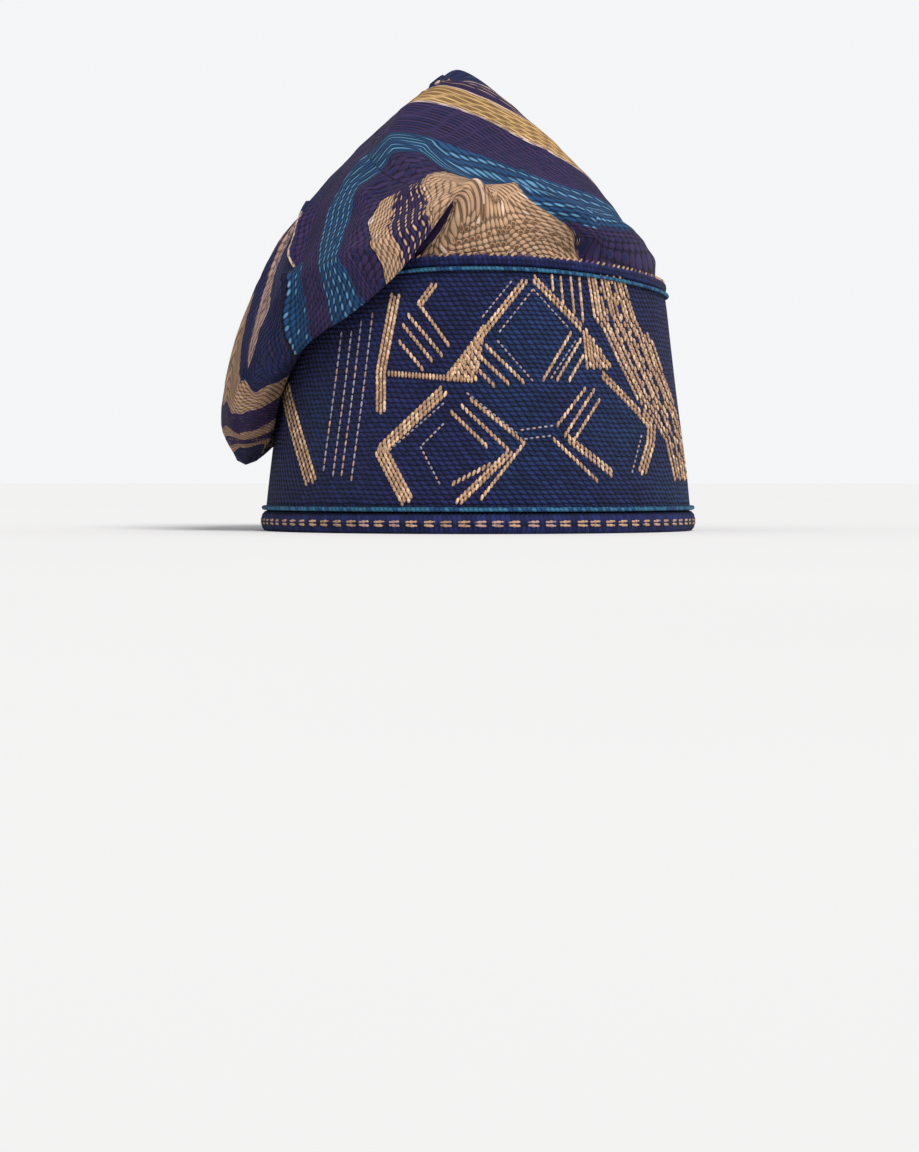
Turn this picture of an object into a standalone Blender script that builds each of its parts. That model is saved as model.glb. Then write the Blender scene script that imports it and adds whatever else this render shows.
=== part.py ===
# A soft woven cap with a tall striped crown folded over to its right-hand side,
# standing on the rim of a stiff brocade band.
# Metres, +Z up. The origin is under the middle of the whole cap, on the surface that it stands on.
# The front of the cap faces -Y, and the crown falls over towards -X.

import math

import bpy
import numpy as np
from mathutils import Vector

MM = 0.001

# The crown overhangs on one side, so the rim's centre is this far from the middle of the whole cap.
RIM_CENTRE_X = 0.0083

# Band: an oval wall of double cloth that narrows towards the top.
BAND_HALF_WIDTH = 0.0900
BAND_HALF_DEPTH = 0.1040
BAND_TOP_HALF_WIDTH = 0.0785
BAND_TOP_HALF_DEPTH = 0.0920
BAND_TOP_HEIGHT = 0.0990
BAND_FRONT_RISE = 0.0060
BAND_WALL = 0.0030
BAND_TAPER_POWER = 1.10
BAND_COLUMNS = 72
BAND_ROWS = 5

# Hem roll under the band, and the narrow welt on top of it.
HEM_HEIGHT = 0.0085
HEM_WIDTH = 0.0056
HEM_OUTSET = 0.0014
WELT_HEIGHT = 0.0045
WELT_WIDTH = 0.0040
WELT_OUTSET = 0.0008
BEAD_FLAT = 0.0016
PIECE_GAP = 0.0003

# Crown: one wall of thick cloth.
CROWN_WALL = 0.0015
SPAN_STEPS = 3
RING_WAYS = (
    0.0, 0.045, 0.07, 0.09, 0.11, 0.13, 0.15, 0.17, 0.19, 0.21, 0.245, 0.28, 0.315, 0.35, 0.385, 0.425,
    0.47, 0.51, 0.55, 0.585, 0.62, 0.65, 0.68, 0.72, 0.76, 0.80, 0.84, 0.88, 0.92, 0.955, 0.985, 1.0,
)

# The crown rises inside the welt up to this height, on an oval that the seam holds.
SEAM_HEIGHT = 0.1135
SEAM_HALF_WIDTH = 0.0746
SEAM_HALF_DEPTH = 0.0881

# From this way on a ring hangs outside the band, clear of it where it is below this height.
HANGING_WAY = 0.125
HANGING_HEIGHT = 0.1130
HANGING_CLEARANCE = 0.0022

# How far the cloth turns up behind a fold edge, in millimetres.
LIP_LIFT = 2.5

# Each table below follows one line of the crown from its sewn lower edge (way 0)
# to its closed end (way 1), in millimetres. The crown is a tube that rises from the band,
# bends over its inner crease and hangs down outside the band, so its end is the lowest.
LINE_COLUMNS = ("way", "x", "y", "z")

OVER_THE_TOP = (
    (0.00, 75.0, 4, 93),
    (0.06, 75.0, 4, 106),
    (0.09, 73.0, 4, 113),
    (0.13, 70.0, 4, 119),
    (0.17, 66.0, 4, 124),
    (0.21, 62.0, 4, 129.5),
    (0.28, 55.0, 3, 138.5),
    (0.385, 43.5, 2, 151.5),
    (0.51, 25.0, 3, 168.5),
    (0.60, 3.0, 4, 188.5),
    (0.65, -11.0, 4, 194.5),
    (0.68, -20.0, 3, 187),
    (0.72, -35.0, 3, 168.5),
    (0.80, -63.5, 4, 143),
    (0.86, -83.0, 3, 123.5),
    (0.90, -93.0, 1, 105),
    (0.93, -98.5, 0, 86),
    (0.96, -105.0, 0, 65),
    (0.985, -108.0, 0, 45),
    (1.00, -101.5, 0, 29.5),
)
FRONT_RIDGE = (
    (0.00, 14, -86.5, 93),
    (0.06, 13, -88, 110.5),
    (0.09, 12, -92, 122),
    (0.13, 7, -94, 133.5),
    (0.17, -6, -78, 138),
    (0.21, -24, -65, 146.5),
    (0.28, -34, -47, 160),
    (0.385, -27, -29, 174.5),
    (0.51, -17, -15, 185),
    (0.60, -15, -10, 188.5),
    (0.65, -22, -10, 183.5),
    (0.72, -42, -12, 164.5),
    (0.80, -70, -16, 136.5),
    (0.86, -87, -19, 113),
    (0.90, -97, -20, 90),
    (0.96, -105, -20, 58),
    (0.985, -107, -19, 43),
    (1.00, -101, -15, 30.5),
)
VALLEY = (
    (0.00, 0, -88.0, 93),
    (0.06, 0, -88.5, 111),
    (0.09, 1, -94, 124),
    (0.13, -1, -96, 139),
    (0.17, -15, -86, 134),
    (0.21, -31, -76, 130),
    (0.28, -50, -54, 139),
    (0.385, -58, -37, 143),
    (0.51, -63, -27, 142.5),
    (0.60, -68, -24, 138),
    (0.65, -72, -24, 133),
    (0.72, -80, -26, 121),
    (0.80, -92, -29, 100),
    (0.86, -98, -31, 80),
    (0.90, -101.5, -32, 67),
    (0.96, -104.5, -30, 49.5),
    (0.985, -104.5, -27.5, 41.5),
    (1.00, -100, -22, 32),
)
FRONT_ROLL = (
    (0.00, -12, -87.0, 93),
    (0.06, -11, -88, 111),
    (0.09, -6, -94, 123.5),
    (0.13, -7, -100.5, 134),
    (0.17, -27, -99.5, 120),
    (0.21, -44, -90.5, 113),
    (0.28, -62, -77, 108),
    (0.385, -75, -64, 102),
    (0.51, -84, -54, 93),
    (0.60, -89, -48, 85),
    (0.65, -91.5, -46, 80),
    (0.72, -95, -43, 71),
    (0.80, -98, -41, 62),
    (0.86, -100, -39.5, 55),
    (0.90, -100.5, -38, 51),
    (0.96, -101.5, -36, 43),
    (0.985, -101, -33, 39.5),
    (1.00, -98, -27, 34),
)
FRONT_FOLD_EDGE = (
    (0.00, -26, -83, 93),
    (0.06, -23, -86, 110.5),
    (0.09, -15, -90.5, 119),
    (0.13, -11, -97.5, 129.5),
    (0.15, -19, -98.5, 118),
    (0.17, -29, -96, 105),
    (0.21, -46, -87, 90),
    (0.28, -60, -76.5, 81.5),
    (0.385, -71, -66.5, 74),
    (0.51, -80, -58, 66),
    (0.60, -85, -52, 60),
    (0.65, -87, -49, 57),
    (0.72, -89.5, -45, 53),
    (0.80, -92, -41.5, 48),
    (0.86, -93, -39, 44),
    (0.90, -94, -37.5, 42),
    (0.96, -95, -35, 38),
    (0.985, -95.5, -32.5, 36),
    (1.00, -95.5, -27, 33.5),
)
INNER_CREASE = (
    (0.00, -75.0, 4, 93),
    (0.06, -75.0, 4, 106),
    (0.09, -76.0, 4, 110),
    (0.12, -79.0, 4, 112.5),
    (0.15, -81.8, 4, 110),
    (0.20, -82.3, 4, 100),
    (0.35, -83.5, 4, 84),
    (0.55, -85.6, 4, 67),
    (0.75, -87.2, 4, 54),
    (0.90, -88.3, 3, 43),
    (0.96, -89.2, 2, 37),
    (0.985, -90.5, 1, 32.5),
    (1.00, -94.0, 0, 29),
)
BACK_FOLD_EDGE = (
    (0.00, -40, 75, 93),
    (0.06, -39, 77, 105.5),
    (0.10, -38, 81, 117),
    (0.13, -43, 87, 114),
    (0.17, -50, 89.5, 106),
    (0.28, -62, 76, 91),
    (0.385, -71, 67, 80),
    (0.51, -79, 59, 70),
    (0.60, -84, 53, 63),
    (0.72, -89, 46, 54),
    (0.80, -92, 42, 49),
    (0.90, -94, 38, 42),
    (0.96, -95, 35, 38),
    (0.985, -95.5, 32.5, 36),
    (1.00, -95.5, 27, 33.5),
)
BACK_RIDGE = (
    (0.00, -12, 87.5, 93),
    (0.06, -12, 88, 105.5),
    (0.10, -14, 88, 118),
    (0.17, -22, 84.5, 131),
    (0.28, -31, 64, 152),
    (0.385, -27, 44, 171),
    (0.51, -17, 24, 187),
    (0.60, -14, 15, 192),
    (0.65, -17, 14, 191),
    (0.72, -36, 15, 173.5),
    (0.80, -66, 19, 143),
    (0.86, -85, 21, 118),
    (0.90, -96, 22, 95),
    (0.96, -104, 20, 60),
    (0.985, -107, 19, 43),
    (1.00, -101, 15, 30.5),
)
CROWN_TIP = (-98.0, 0.0, 27.5)

# The dents and creases pressed into the outer layer: a straight line between two points in
# millimetres, how deep the cloth sinks along it (a ridge is below zero) and how wide it is.
FOLD_COLUMNS = ("x", "y", "z", "end x", "end y", "end z", "depth", "width")
FOLDS = (
    (12, -81, 136, 38, -77, 120, 4.0, 6.5),
    (8, -96, 131, 34, -90, 117, -2.0, 6.5),
    (-14, -83, 137, -44, -68, 130, 3.5, 6.5),
    (-77, -50, 118, -81, -58, 84, 3.0, 4.5),
    (-24, 62, 146, -66, 66, 108, 3.0, 8.0),
    (14, 72, 136, 52, 56, 114, 2.5, 8.0),
    (-26, 2, 180, -72, 3, 133, 2.5, 5.0),
)


def line_at(table, way):
    """Where a table's line is at one way along it, as a smooth curve through its rows."""
    rows = np.array(table, float)
    ways, places = rows[:, 0], rows[:, 1:]
    slopes = np.gradient(places, ways, axis=0)
    k = int(np.clip(np.searchsorted(ways, way) - 1, 0, len(ways) - 2))
    step = ways[k + 1] - ways[k]
    t = (way - ways[k]) / step
    return (
        (2 * t**3 - 3 * t**2 + 1) * places[k]
        + (t**3 - 2 * t**2 + t) * step * slopes[k]
        + (3 * t**2 - 2 * t**3) * places[k + 1]
        + (t**3 - t**2) * step * slopes[k + 1]
    )


def outward(point):
    """The horizontal direction away from the head, at a point in millimetres."""
    direction = np.array([point[0] / BAND_HALF_WIDTH**2, point[1] / BAND_HALF_DEPTH**2, 0.0])
    return direction / np.linalg.norm(direction)


def bowed(start, end, share, bow):
    """A point part way from start to end, pushed away from the head by a share of their distance."""
    point = start + (end - start) * share
    return point + outward(point) * bow * np.linalg.norm(end - start)


def cornered(side, ridge, turn):
    """A point of the quarter oval from the ridge (turn 0) round to the side (turn 1)."""
    angle = turn * math.pi / 2
    return np.array([
        ridge[0] + (side[0] - ridge[0]) * math.sin(angle),
        side[1] + (ridge[1] - side[1]) * math.cos(angle),
        ridge[2] + (side[2] - ridge[2]) * turn,
    ])


def inner_layer(edge, crease, share, lift=0.0):
    """A point of the hidden layer that lies along the band, between a fold edge and the inner crease."""
    first, last = (math.atan2(p[1] / BAND_HALF_DEPTH, p[0] / BAND_HALF_WIDTH) % (2 * math.pi) for p in (edge, crease))
    angle = first + (last - first) * share
    height = edge[2] + (crease[2] - edge[2]) * share**0.5 + lift
    crease_half_width = band_half_sizes(crease[2] * MM)[0] / MM
    half_width, half_depth = (size / MM for size in band_half_sizes(height * MM))
    clearance = -crease[0] - crease_half_width
    return np.array([
        (half_width + clearance) * math.cos(angle),
        (half_depth + clearance) * math.sin(angle),
        height,
    ])


def ring_stations(way):
    """The points that one ring of the crown passes through, from the side and round by the front."""
    top = line_at(OVER_THE_TOP, way)
    ridge = line_at(FRONT_RIDGE, way)
    valley = line_at(VALLEY, way)
    roll = line_at(FRONT_ROLL, way)
    edge = line_at(FRONT_FOLD_EDGE, way)
    crease = line_at(INNER_CREASE, way)
    back_edge = line_at(BACK_FOLD_EDGE, way)
    back_ridge = line_at(BACK_RIDGE, way)
    lift = LIP_LIFT * min(1.0, max(0.0, (way - HANGING_WAY) / 0.05))
    return [
        top,
        cornered(top, ridge, 0.67),
        cornered(top, ridge, 0.33),
        ridge,
        bowed(ridge, valley, 0.50, 0.05),
        valley,
        roll,
        bowed(roll, edge, 0.55, 0.06),
        edge,
        inner_layer(edge, crease, 0.06, lift),
        inner_layer(edge, crease, 0.50),
        crease,
        inner_layer(back_edge, crease, 0.50),
        inner_layer(back_edge, crease, 0.06, lift),
        back_edge,
        bowed(back_ridge, back_edge, 0.70, 0.16),
        bowed(back_ridge, back_edge, 0.33, 0.10),
        back_ridge,
        cornered(top, back_ridge, 0.33),
        cornered(top, back_ridge, 0.67),
    ]


def seated(point, way):
    """Keeps a point of a low ring on the oval of the seam, and one of a hanging ring outside the band."""
    if way < HANGING_WAY:
        half_width, half_depth = SEAM_HALF_WIDTH, SEAM_HALF_DEPTH
        held = min(1.0, max(0.0, (SEAM_HEIGHT / MM + 2.0 - point[2]) / 2.0))
    else:
        half_width, half_depth = (size + HANGING_CLEARANCE for size in band_half_sizes(point[2] * MM))
        held = min(1.0, max(0.0, (HANGING_HEIGHT / MM - point[2]) / 2.0))
    reach = math.hypot(point[0] * MM / half_width, point[1] * MM / half_depth)
    if way >= HANGING_WAY and reach > 1.0:
        return point
    share = 1.0 + (1.0 / reach - 1.0) * held
    return np.array([point[0] * share, point[1] * share, point[2]])


# The stations of a ring that lie on its outer layer: those up to the front edge, and from the back edge on.
LAST_FRONT_STATION = 8
FIRST_BACK_STATION = 14


def closed_curve(stations, steps):
    """Points along a smooth closed curve, the same number from each station to the next."""
    points = []
    count = len(stations)
    for k in range(count):
        before, here, there, after = (stations[(k + n) % count] for n in (-1, 0, 1, 2))
        gaps = [max(np.linalg.norm(b - a), 1e-6) ** 0.5 for a, b in ((before, here), (here, there), (there, after))]
        leave = (here - before) / gaps[0] - (there - before) / (gaps[0] + gaps[1]) + (there - here) / gaps[1]
        arrive = (there - here) / gaps[1] - (after - here) / (gaps[1] + gaps[2]) + (after - there) / gaps[2]
        leave, arrive = leave * gaps[1], arrive * gaps[1]
        for n in range(steps):
            t = n / steps
            points.append(
                (2 * t**3 - 3 * t**2 + 1) * here
                + (t**3 - 2 * t**2 + t) * leave
                + (3 * t**2 - 2 * t**3) * there
                + (t**3 - t**2) * arrive
            )
    return points


def new_object(name, points, faces, material):
    mesh = bpy.data.meshes.new(name)
    mesh.from_pydata([(p[0] + RIM_CENTRE_X, p[1], p[2]) for p in points], [], faces)
    mesh.shade_smooth()
    mesh.update()
    mesh.materials.append(material)
    obj = bpy.data.objects.new(name, mesh)
    bpy.context.scene.collection.objects.link(obj)
    return obj


def loop_faces(rows, columns):
    """Faces between neighbouring closed rows of points."""
    return [
        (r * columns + c, r * columns + (c + 1) % columns,
         (r + 1) * columns + (c + 1) % columns, (r + 1) * columns + c)
        for r in range(rows - 1)
        for c in range(columns)
    ]


def fold_depths(points):
    """How far the folds sink the cloth at each of the points."""
    depths = np.zeros(len(points))
    for fold in FOLDS:
        start, end, depth, width = np.array(fold[:3], float), np.array(fold[3:6], float), fold[6], fold[7]
        run = end - start
        along = np.clip(((points - start) @ run) / (run @ run), 0.0, 1.0)
        away = np.linalg.norm(points - start - along[:, None] * run, axis=1)
        depths += depth * np.exp(-((away / width) ** 2))
    return depths


def crown_rings(ways, steps):
    """The crown's outer face as rings of points in millimetres, an equal number in each."""
    rings = np.array([[seated(point, way) for point in closed_curve(ring_stations(way), steps)] for way in ways])
    along = np.gradient(rings, axis=0)
    around = (np.roll(rings, -1, axis=1) - np.roll(rings, 1, axis=1)) / 2
    inward = np.cross(along, around)
    inward /= np.maximum(np.linalg.norm(inward, axis=2, keepdims=True), 1e-9)
    depths = fold_depths(rings.reshape(-1, 3)).reshape(rings.shape[:2])
    column = np.arange(rings.shape[1]) / steps
    outer = (column <= LAST_FRONT_STATION - 0.5) | (column >= FIRST_BACK_STATION + 0.5)
    hanging = (np.array(ways) >= HANGING_WAY)[:, None]
    free = np.clip((rings[:, :, 2] - SEAM_HEIGHT / MM - 3.0) / 6.0, 0.0, 1.0)
    return rings + inward * (depths * outer * np.where(hanging, 1.0, free))[:, :, None]


def make_crown(material):
    rings = crown_rings(RING_WAYS, SPAN_STEPS)
    columns = rings.shape[1]
    points = list(rings.reshape(-1, 3) * MM)
    # The rings run clockwise seen from above, so each face is turned to point outwards.
    faces = [face[::-1] for face in loop_faces(len(RING_WAYS), columns)]
    tip = len(points)
    points.append(np.array(CROWN_TIP) * MM)
    last = (len(RING_WAYS) - 1) * columns
    faces += [(tip, last + (c + 1) % columns, last + c) for c in range(columns)]
    crown = new_object("crown", points, faces, material)
    wall = crown.modifiers.new("wall", "SOLIDIFY")
    wall.thickness = CROWN_WALL
    wall.offset = -1
    wall.use_quality_normals = True
    return crown


def band_half_sizes(height):
    """The band's outer half width and half depth at a height."""
    share = min(max(height, 0.0) / BAND_TOP_HEIGHT, 1.0) ** BAND_TAPER_POWER
    return (
        BAND_HALF_WIDTH + (BAND_TOP_HALF_WIDTH - BAND_HALF_WIDTH) * share,
        BAND_HALF_DEPTH + (BAND_TOP_HALF_DEPTH - BAND_HALF_DEPTH) * share,
    )


def band_top(angle):
    """The height of the band's upper edge, which rises towards the front."""
    return BAND_TOP_HEIGHT + BAND_FRONT_RISE * max(0.0, -math.sin(angle)) ** 2


def on_band(angle, height, inset):
    """A point at a height, set in from the band's outer face."""
    half_width, half_depth = band_half_sizes(height)
    return Vector(((half_width - inset) * math.cos(angle), (half_depth - inset) * math.sin(angle), height))


def make_band(material):
    angles = [2 * math.pi * c / BAND_COLUMNS for c in range(BAND_COLUMNS)]
    bottom = HEM_HEIGHT + PIECE_GAP
    points = []
    for inset, order in ((0.0, range(BAND_ROWS)), (BAND_WALL, reversed(range(BAND_ROWS)))):
        for row in order:
            share = row / (BAND_ROWS - 1)
            for angle in angles:
                points.append(on_band(angle, bottom + (band_top(angle) - bottom) * share, inset))
    rows = 2 * BAND_ROWS
    faces = loop_faces(rows, BAND_COLUMNS)
    last = (rows - 1) * BAND_COLUMNS
    faces += [(last + c, last + (c + 1) % BAND_COLUMNS, (c + 1) % BAND_COLUMNS, c) for c in range(BAND_COLUMNS)]
    return new_object("band", points, faces, material)


def make_bead(name, bottom_at, height, width, outset, material):
    """A rounded cord of cloth round the band, with a flat strip under it."""
    angles = [2 * math.pi * c / BAND_COLUMNS for c in range(BAND_COLUMNS)]
    # The section runs from the outer bottom corner, up the outside, over and down the inside.
    side, half_flat = width / 2, BEAD_FLAT
    section = (
        (-half_flat, 0.0), (-side * 0.92, height * 0.22), (-side, height * 0.50), (-side * 0.85, height * 0.82),
        (-half_flat, height), (half_flat, height), (side * 0.85, height * 0.82), (side, height * 0.50),
        (side * 0.92, height * 0.22), (half_flat, 0.0),
    )
    points = []
    for across, up in section:
        for angle in angles:
            base = bottom_at(angle)
            points.append(on_band(angle, base, side - outset + across) + Vector((0, 0, up)))
    rows = len(section)
    faces = loop_faces(rows, BAND_COLUMNS)
    last = (rows - 1) * BAND_COLUMNS
    faces += [(last + c, last + (c + 1) % BAND_COLUMNS, (c + 1) % BAND_COLUMNS, c) for c in range(BAND_COLUMNS)]
    return new_object(name, points, faces, material)


def cloth(name, colour, roughness=0.85):
    material = bpy.data.materials.new(name)
    material.use_nodes = True
    shader = material.node_tree.nodes["Principled BSDF"]
    shader.inputs["Base Color"].default_value = (*colour, 1.0)
    shader.inputs["Roughness"].default_value = roughness
    shader.inputs["Metallic"].default_value = 0.0
    return material


def main():
    for obj in list(bpy.data.objects):
        bpy.data.objects.remove(obj)
    make_crown(cloth("striped_cloth", (0.05, 0.06, 0.16)))
    make_band(cloth("brocade", (0.03, 0.05, 0.16)))
    make_bead("hem_roll", lambda angle: 0.0, HEM_HEIGHT, HEM_WIDTH, HEM_OUTSET, cloth("hem", (0.03, 0.04, 0.11)))
    make_bead("top_welt", lambda angle: band_top(angle) + PIECE_GAP, WELT_HEIGHT, WELT_WIDTH, WELT_OUTSET,
              cloth("welt", (0.04, 0.10, 0.22)))


main()
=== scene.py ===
import math

import bpy
import numpy as np
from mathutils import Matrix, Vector, noise


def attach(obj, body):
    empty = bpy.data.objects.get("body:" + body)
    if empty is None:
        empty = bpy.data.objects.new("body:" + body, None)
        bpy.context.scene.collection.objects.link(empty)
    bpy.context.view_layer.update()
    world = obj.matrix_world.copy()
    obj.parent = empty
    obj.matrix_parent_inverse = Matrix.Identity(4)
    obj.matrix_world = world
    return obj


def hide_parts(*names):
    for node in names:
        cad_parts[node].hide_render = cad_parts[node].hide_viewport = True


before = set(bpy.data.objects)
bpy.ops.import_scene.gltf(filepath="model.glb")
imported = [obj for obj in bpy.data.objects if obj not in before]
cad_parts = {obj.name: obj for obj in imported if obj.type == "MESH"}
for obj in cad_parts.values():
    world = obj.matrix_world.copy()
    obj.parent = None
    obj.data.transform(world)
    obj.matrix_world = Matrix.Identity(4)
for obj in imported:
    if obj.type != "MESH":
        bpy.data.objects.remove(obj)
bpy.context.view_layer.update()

mm = 0.001
rimCentreX = 8.3  # the rim's middle, from the middle of the whole cap


# Small helpers

def paint(red, green, blue):
    # a screen colour of 0 to 255, made linear
    return tuple(((v / 255 + 0.055) / 1.055) ** 2.4 for v in (red, green, blue)) + (1.0,)


yarns = {
    # the very dark blue is painted shadow along the pleat's fold, not a yarn of its own
    "navy": paint(29, 36, 82), "pleatShadow": paint(20, 23, 52), "indigo": paint(32, 40, 88),
    "purple": paint(54, 41, 84), "plum": paint(98, 70, 98), "blue": paint(29, 68, 110),
    "sky": paint(88, 138, 170), "line": paint(56, 118, 152), "tan": paint(203, 164, 132),
    # the darker, greyer tan is tan in painted shade, for the hanging flap
    "gold": paint(208, 168, 112), "shadedTan": paint(182, 146, 116), "rose": paint(182, 148, 138),
    "pale": paint(222, 196, 180), "cream": paint(224, 190, 154), "ash": paint(168, 162, 172),
    "umber": paint(118, 84, 58),
}
clothShine = {"Roughness": 0.85, "Sheen Weight": 0.03, "Sheen Roughness": 0.5, "Specular IOR Level": 0.2}


def addNode(tree, kind, inputs=None, **settings):
    node = tree.nodes.new(kind)
    for key, value in settings.items():
        setattr(node, key, value)
    for key, value in (inputs or {}).items():
        if isinstance(value, bpy.types.NodeSocket):
            tree.links.new(value, node.inputs[key])
        else:
            node.inputs[key].default_value = value
    return node


def calc(tree, operation, first, second=0.0, third=0.0, clamp=False):
    inputs = {0: first, 1: second, 2: third}
    return addNode(tree, "ShaderNodeMath", inputs, operation=operation, use_clamp=clamp).outputs[0]


def add(tree, first, second):
    return calc(tree, "ADD", first, second)


def times(tree, first, second):
    return calc(tree, "MULTIPLY", first, second)


def over(tree, value, limit):
    return calc(tree, "GREATER_THAN", value, limit)


def between(tree, value, low, high, toLow=0.0, toHigh=1.0):
    inputs = {"Value": value, "From Min": low, "From Max": high, "To Min": toLow, "To Max": toHigh}
    return addNode(tree, "ShaderNodeMapRange", inputs, interpolation_type="SMOOTHSTEP").outputs[0]


def blendColour(tree, share, first, second, mode="MIX"):
    inputs = {0: share, 6: first, 7: second}
    return addNode(tree, "ShaderNodeMix", inputs, data_type="RGBA", blend_type=mode).outputs[2]


def blendValue(tree, share, first, second):
    return addNode(tree, "ShaderNodeMix", {0: share, 2: first, 3: second}, data_type="FLOAT").outputs[0]


def vectorCalc(tree, operation, inputs):
    return addNode(tree, "ShaderNodeVectorMath", inputs, operation=operation).outputs[0]


def cloudy(tree, where, scale, detail=2.0):
    inputs = {"Vector": where, "Scale": scale, "Detail": detail}
    return addNode(tree, "ShaderNodeTexNoise", inputs).outputs[0]


def cellChance(tree, column, row, layer):
    cell = addNode(tree, "ShaderNodeCombineXYZ", {0: column, 1: row, 2: layer}).outputs[0]
    return addNode(tree, "ShaderNodeTexWhiteNoise", {"Vector": cell}).outputs["Value"]


def objectPlace(tree):
    return addNode(tree, "ShaderNodeTexCoord").outputs["Object"]


def readWays(tree):
    return addNode(tree, "ShaderNodeUVMap", uv_map="clothWays").outputs[0]


def readField(tree, name):
    return addNode(tree, "ShaderNodeAttribute", attribute_name=name).outputs["Fac"]


def startGroup(name, inputs, outputs):
    tree = bpy.data.node_groups.new(name, "ShaderNodeTree")
    for label, kind, value in inputs:
        socket = tree.interface.new_socket(name=label, in_out="INPUT", socket_type="NodeSocket" + kind)
        if value is not None:
            socket.default_value = value
    for label, kind in outputs:
        tree.interface.new_socket(name=label, in_out="OUTPUT", socket_type="NodeSocket" + kind)
    return tree, tree.nodes.new("NodeGroupInput").outputs


def endGroup(tree, values):
    result = tree.nodes.new("NodeGroupOutput")
    for key, value in values.items():
        tree.links.new(value, result.inputs[key])
    return tree


def useGroup(tree, group, inputs):
    return addNode(tree, "ShaderNodeGroup", inputs, node_tree=group).outputs


def newMaterial(name):
    material = bpy.data.materials.new(name)
    material.use_nodes = True
    sockets = material.node_tree.nodes["Principled BSDF"].inputs
    for key, value in clothShine.items():
        sockets[key].default_value = value
    return material, material.node_tree, sockets


def newPiece(name, points, faces, material):
    mesh = bpy.data.meshes.new(name)
    mesh.from_pydata([tuple(p) for p in points], [], faces)
    mesh.shade_smooth()
    mesh.update()
    mesh.materials.append(material)
    piece = bpy.data.objects.new(name, mesh)
    bpy.context.scene.collection.objects.link(piece)
    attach(piece, "root")
    return piece


def loopFaces(rows, columns, closed=False):
    # Faces between rings of points, and between the last ring and the first if they close.
    faces = []
    for r in range(rows if closed else rows - 1):
        low, high = r * columns, (r + 1) % rows * columns
        for c in range(columns):
            after = (c + 1) % columns
            faces.append((low + c, low + after, high + after, high + c))
    return faces


def layWays(piece, ways, columns, length):
    # Gives each point its place on the cloth, one whole length further on where a face closes a ring.
    layer = piece.data.uv_layers.new(name="clothWays")
    for face in piece.data.polygons:
        ring = [v % columns for v in face.vertices]
        wraps = columns - 1 in ring and 0 in ring
        for k, v in zip(face.loop_indices, face.vertices):
            further = length if wraps and v % columns == 0 else 0.0
            layer.data[k].uv = (ways[v][0] + further, ways[v][1])


# Shared effects

def makeStitchRows():
    # Rows of slanted oval stitches: Place is in millimetres, x along the rows and y across them.
    tree, given = startGroup(
        "stitchRows",
        (("Place", "Vector", None), ("Row Height", "Float", 1.6), ("Stitch Length", "Float", 2.2),
         ("Slant", "Float", 0.6), ("Stagger", "Float", 0.5), ("Wobble", "Float", 0.5)),
        (("Height", "Float"), ("Gap Shade", "Float"), ("Tone", "Float"), ("Odd Row", "Float"), ("Run", "Float")))
    drift = addNode(tree, "ShaderNodeTexNoise", {"Vector": given["Place"], "Scale": 0.07, "Detail": 2.0})
    centred = vectorCalc(tree, "SUBTRACT", {0: drift.outputs["Color"], 1: (0.5, 0.5, 0.5)})
    moved = vectorCalc(tree, "SCALE", {0: centred, "Scale": given["Wobble"]})
    place = vectorCalc(tree, "ADD", {0: given["Place"], 1: moved})
    parts = addNode(tree, "ShaderNodeSeparateXYZ", {0: place}).outputs
    up = calc(tree, "DIVIDE", parts[1], given["Row Height"])
    row = calc(tree, "FLOOR", up)
    upShare = calc(tree, "SUBTRACT", calc(tree, "SUBTRACT", up, row), 0.5)
    across = calc(tree, "DIVIDE", parts[0], given["Stitch Length"])
    across = add(tree, across, times(tree, upShare, given["Slant"]))
    across = add(tree, across, times(tree, row, given["Stagger"]))
    column = calc(tree, "FLOOR", across)
    acrossShare = calc(tree, "SUBTRACT", calc(tree, "SUBTRACT", across, column), 0.5)
    squares = (calc(tree, "POWER", times(tree, share, 1.9), 2.0) for share in (upShare, acrossShare))
    reach = add(tree, *squares)
    return endGroup(tree, {
        "Height": calc(tree, "SQRT", calc(tree, "SUBTRACT", 1.15, reach, clamp=True)),
        # painted shade: how far a point lies in the hollow between stitches, for darkening the colour there
        "Gap Shade": between(tree, reach, 0.40, 1.05),
        "Tone": cellChance(tree, column, row, 0.0),
        "Odd Row": calc(tree, "ABSOLUTE", calc(tree, "MODULO", row, 2.0)),
        "Run": cellChance(tree, column, row, 4.0),
    })


def makeYarnToneAndShade():
    # A yarn colour made uneven: each stitch its own tone, painted shade darkening it between the stitches,
    # and fine fibres.
    tree, given = startGroup(
        "yarnToneAndShade",
        (("Color", "Color", None), ("Tone", "Float", 0.5), ("Gap Shade", "Float", 0.0), ("Spread", "Float", 0.3),
         ("Depth", "Float", 0.7)),
        (("Color", "Color"), ("Fibre", "Float"), ("Roughness", "Float")))
    where = objectPlace(tree)
    fibre = cloudy(tree, where, 2600.0)
    cloud = cloudy(tree, where, 38.0, 3.0)
    bright = add(tree, 1.0, times(tree, calc(tree, "SUBTRACT", given["Tone"], 0.5), given["Spread"]))
    bright = times(tree, bright, add(tree, 0.86, times(tree, cloud, 0.28)))
    bright = times(tree, bright, add(tree, 0.80, times(tree, fibre, 0.40)))
    # painted shade: the colour is darkened by Depth in the hollows between stitches
    lit = times(tree, bright, calc(tree, "SUBTRACT", 1.0, times(tree, given["Gap Shade"], given["Depth"])))
    grey = addNode(tree, "ShaderNodeCombineColor", {0: lit, 1: lit, 2: lit}).outputs[0]
    return endGroup(tree, {
        "Color": blendColour(tree, 1.0, given["Color"], grey, "MULTIPLY"),
        "Fibre": fibre,
        "Roughness": add(tree, 0.74, times(tree, fibre, 0.24)),
    })


stitchRows = makeStitchRows()
yarnToneAndShade = makeYarnToneAndShade()


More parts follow.
